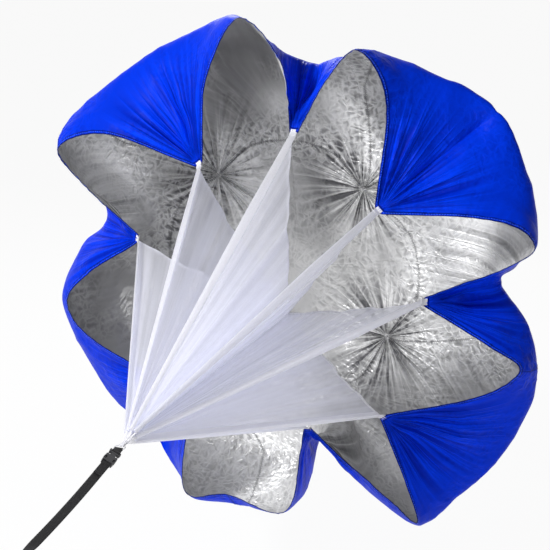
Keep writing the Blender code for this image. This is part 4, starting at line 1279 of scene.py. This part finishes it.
def nylon_tulle(name, thread_colour, thin, dense, selvedge=0.0):
    """Nylon tulle: a soft mesh of fine white thread that lets the light through, whiter where it is gathered.

    Its threads are 0.5 mm apart. Here they are drawn 2 mm apart, which is as fine as shows.
    """
    made, tree, shader = new_material(name)
    place = add_node(tree, "ShaderNodeUVMap", uv_map="surface")
    cells = add_node(tree, "ShaderNodeTexVoronoi", {"Vector": place, "Scale": 500.0},
                     feature="DISTANCE_TO_EDGE")
    thread = add_node(tree, "ShaderNodeMapRange", {"Value": cells.outputs["Distance"], "From Min": 0.05,
                                                   "From Max": 0.30, "To Min": 1.06, "To Max": 0.90})
    near = add_node(tree, "ShaderNodeAttribute", attribute_name="from_apex")
    density = add_node(tree, "ShaderNodeMapRange", {"Value": near.outputs["Fac"], "From Min": 0.05,
                                                    "From Max": 0.65, "To Min": dense, "To Max": thin})
    fold = add_node(tree, "ShaderNodeAttribute", attribute_name="crease")
    spread = add_node(tree, "ShaderNodeMapping", {"Vector": fold.outputs["Vector"], "Scale": (9.0, 0.5, 1.0)})
    creases = add_node(tree, "ShaderNodeTexNoise", {"Vector": spread, "Scale": 1.0, "Detail": 3.0,
                                                    "Roughness": 0.5})
    bands = add_node(tree, "ShaderNodeMapRange", {"Value": creases.outputs["Fac"], "From Min": 0.40,
                                                  "From Max": 0.68, "To Min": 0.84, "To Max": 1.32})
    woven = add_node(tree, "ShaderNodeMath", {0: thread, 1: density}, operation="MULTIPLY")
    folded = add_node(tree, "ShaderNodeMath", {0: woven, 1: bands}, operation="MULTIPLY")
    split = add_node(tree, "ShaderNodeSeparateXYZ", {"Vector": place})
    middle = add_node(tree, "ShaderNodeMath", {0: split.outputs["X"], 1: net_hem_width / 2},
                      operation="SUBTRACT")
    away = add_node(tree, "ShaderNodeMath", {0: middle}, operation="ABSOLUTE")
    edge = add_node(tree, "ShaderNodeMapRange", {"Value": away, "From Min": net_hem_width * 0.30,
                                                 "From Max": net_hem_width * 0.46, "To Max": selvedge})
    alpha = add_node(tree, "ShaderNodeMath", {0: folded, 1: edge}, operation="ADD", use_clamp=True)
    relief = add_node(tree, "ShaderNodeBump", {"Height": cells.outputs["Distance"], "Strength": 1.0,
                                               "Distance": 0.0006})
    connect(tree, shader, {"Base Color": linear(thread_colour), "Normal": relief, "Roughness": 0.8,
                           "Specular IOR Level": 0.1, "Sheen Weight": 0.8, "Sheen Roughness": 0.5})
    through = add_node(tree, "ShaderNodeBsdfTranslucent", {"Color": linear(thread_colour)})
    cloth = add_node(tree, "ShaderNodeMixShader", {0: 0.50, 1: shader, 2: through})
    open_mesh = add_node(tree, "ShaderNodeBsdfTransparent")
    mix = add_node(tree, "ShaderNodeMixShader", {0: alpha, 1: open_mesh, 2: cloth})
    connect(tree, tree.nodes["Material Output"], {"Surface": mix})
    return made


def woven_webbing(name, colour, dark):
    """Polypropylene webbing: a ribbed weave with a firm selvedge."""
    made, tree, shader = new_material(name)
    place = add_node(tree, "ShaderNodeUVMap", uv_map="surface")
    ribs = add_node(tree, "ShaderNodeTexWave", {"Vector": place, "Scale": 130.0, "Distortion": 1.0,
                                                "Detail": 2.0}, bands_direction="Y")
    warp = add_node(tree, "ShaderNodeTexWave", {"Vector": place, "Scale": 150.0}, bands_direction="X")
    height = add_node(tree, "ShaderNodeMath", {0: ribs.outputs["Fac"], 1: warp.outputs["Fac"]},
                      operation="MULTIPLY")
    relief = add_node(tree, "ShaderNodeBump", {"Height": height, "Strength": 0.7, "Distance": 0.0006})
    # Painted shade: the weave is darker in its hollows, towards the dark colour
    tone = add_node(tree, "ShaderNodeMix", {"Factor": height, "A": linear(dark), "B": linear(colour)},
                    data_type="RGBA")
    connect(tree, shader, {"Base Color": tone.outputs["Result"], "Normal": relief,
                           "Roughness": 0.7, "Specular IOR Level": 0.25})
    return made


def grained(name, colour, scale, detail, least, most):
    """A material whose roughness varies with a fine grain, with its tree, its shader and the grain's node."""
    made, tree, shader = new_material(name)
    place = add_node(tree, "ShaderNodeTexCoord")
    grain = add_node(tree, "ShaderNodeTexNoise",
                     {"Vector": place.outputs["Object"], "Scale": scale, "Detail": detail})
    tone = add_node(tree, "ShaderNodeMapRange",
                    {"Value": grain.outputs["Fac"], "To Min": least, "To Max": most})
    connect(tree, shader, {"Base Color": linear(colour), "Roughness": tone})
    return made, tree, shader, grain


def spun_thread(name, colour):
    """Spun polyester sewing thread: matt, with a twist too fine to show."""
    made, tree, shader, _ = grained(name, colour, 700.0, 1.0, 0.6, 0.9)
    connect(tree, shader, {"Specular IOR Level": 0.2})
    return made


def moulded_acetal():
    """Black acetal, moulded with a fine spark texture that scatters the light a little."""
    made, tree, shader, grain = grained("moulded_black_acetal", "2b2b2e", 1800.0, 3.0, 0.32, 0.50)
    relief = add_node(tree, "ShaderNodeBump", {"Height": grain.outputs["Fac"], "Strength": 0.25,
                                               "Distance": 0.0002})
    connect(tree, shader, {"Normal": relief})
    return made


def nickel_plate():
    """Bright nickel plate on steel wire, with faint draw marks along it."""
    made, tree, shader, _ = grained("nickel_plated_steel", "dcdcdf", 900.0, 2.0, 0.12, 0.24)
    connect(tree, shader, {"Metallic": 1.0})
    return made


# Floor and light

def seen_directly(tree):
    """1 for the camera's own rays and for mirrored and refracted ones, and 0 for the soft light."""
    path = add_node(tree, "ShaderNodeLightPath").outputs
    seen = add_node(tree, "ShaderNodeMath", {0: path["Is Camera Ray"], 1: path["Is Glossy Ray"]},
                    operation="MAXIMUM")
    return add_node(tree, "ShaderNodeMath", {0: seen, 1: path["Is Transmission Ray"]}, operation="MAXIMUM")


def add_floor():
    """A pale floor at the ground under a runner's waist, white to the camera apart from the soft shadow."""
    made, tree, shader = new_material("pale_floor")
    connect(tree, shader, {"Base Color": linear("f4f4f4"), "Roughness": 0.9})
    share = add_node(tree, "ShaderNodeMath", {0: seen_directly(tree), 1: floor_glow_share},
                     operation="MULTIPLY")
    glow = add_node(tree, "ShaderNodeEmission", {"Color": linear("ffffff"), "Strength": 1.0})
    mix = add_node(tree, "ShaderNodeMixShader", {0: share, 1: shader, 2: glow})
    connect(tree, tree.nodes["Material Output"], {"Surface": mix})
    far = floor_half_size
    corners = [(x, y, floor_height) for x, y in ((-far, -far), (far, -far), (far, far), (-far, far))]
    add_mesh("floor", corners, [(0, 1, 2, 3)], [made])


def add_world():
    """A soft white surround, and a white background."""
    world = bpy.data.worlds.new("studio")
    bpy.context.scene.world = world
    world.use_nodes = True
    tree = world.node_tree
    strength = add_node(tree, "ShaderNodeMapRange", {"Value": seen_directly(tree), "To Min": world_strength})
    connect(tree, tree.nodes["Background"], {"Color": linear("ffffff"), "Strength": strength})


def add_lamp(name, place, target, size, watts):
    light = bpy.data.lights.new(name, "AREA")
    light.shape = "DISK"
    light.size = size
    light.energy = watts
    lamp = add_object(name, light)
    lamp.location = place
    lamp.rotation_euler = (Vector(target) - Vector(place)).to_track_quat("-Z", "Y").to_euler()


# Build

chute_place = mouth_centre()
add_camera(chute_place)
canopy_grid = sample_canopy()

black_webbing = woven_webbing("black_polypropylene_webbing", "2c2c2e", "101011")
white_webbing = woven_webbing("white_polyester_webbing", "f6f6fb", "e4e4ec")

belt_loop = webbing("belt_loop_webbing", belt_loop_path(), strap_thickness, strap_width, black_webbing,
                    on_tether)
strap = webbing("strap_webbing", strap_path(), strap_thickness, strap_width, black_webbing, on_tether)
keeper = webbing("keeper_webbing", keeper_path(), keeper_thickness, strap_width, black_webbing, on_keeper,
                 0.001)
for piece, node in ((belt_loop, "belt_loop"), (strap, "tether_strap"), (keeper, "webbing_keeper")):
    place_piece(piece, "tether", "black_webbing", node)

stitches = stitch_tree()
hem_lines, sewn_outside, sewn_inside = [], [], []
# The shadow colour is the painted shadow at folded edges; dark and bright are the painted shade in the
# creases and the painted highlight on their ridges
blue = coated_taffeta("blue_taffeta_outside", "000c48", "0022b0", "0042ff", 0.0, 0.42, 0.04, 0.0022, 0.0)
silver = coated_taffeta("silver_coating_inside", "2c2c30", "48484c", "ffffff", 0.16, 0.30, 0.8, 0.0034, 1.0)
for index in range(4):
    side_panel(index, blue, silver)
crown_panel(blue, silver)

for name, lines, colour in (("hem_stitches", hem_lines, "5080ff"),
                            ("seam_stitches_outside", sewn_outside, "0a2c9c"),
                            ("seam_stitches_inside", sewn_inside, "48484c")):
    add_stitches(name, lines, spun_thread(name + "_thread", colour))

tulle = nylon_tulle("white_nylon_tulle", "f4f5ff", 0.70, 0.94)
folded_tulle = nylon_tulle("folded_tulle_hem", "fcfcff", 0.94, 1.0, 0.25)
for index in range(LOBES // 2):
    net_panel(index, tulle, folded_tulle)
net_stack(nylon_tulle("gathered_tulle", "fdfdff", 1.0, 1.0))
for lobe in range(LOBES):
    hem_tab(lobe, white_webbing)
apex_webbing_loop(white_webbing)

buckle = ("buckle_socket", "buckle_plug", "release_arm_left", "release_arm_right")
for finish, nodes in ((moulded_acetal(), buckle), (nickel_plate(), ("d_ring",))):
    for node in nodes:
        for material_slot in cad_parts[node].material_slots:
            material_slot.material = finish

add_floor()
add_world()
for name, place, size, watts in lamps:
    add_lamp(name, place, chute_place, size, watts)
bpy.context.scene.view_settings.view_transform = "Standard"
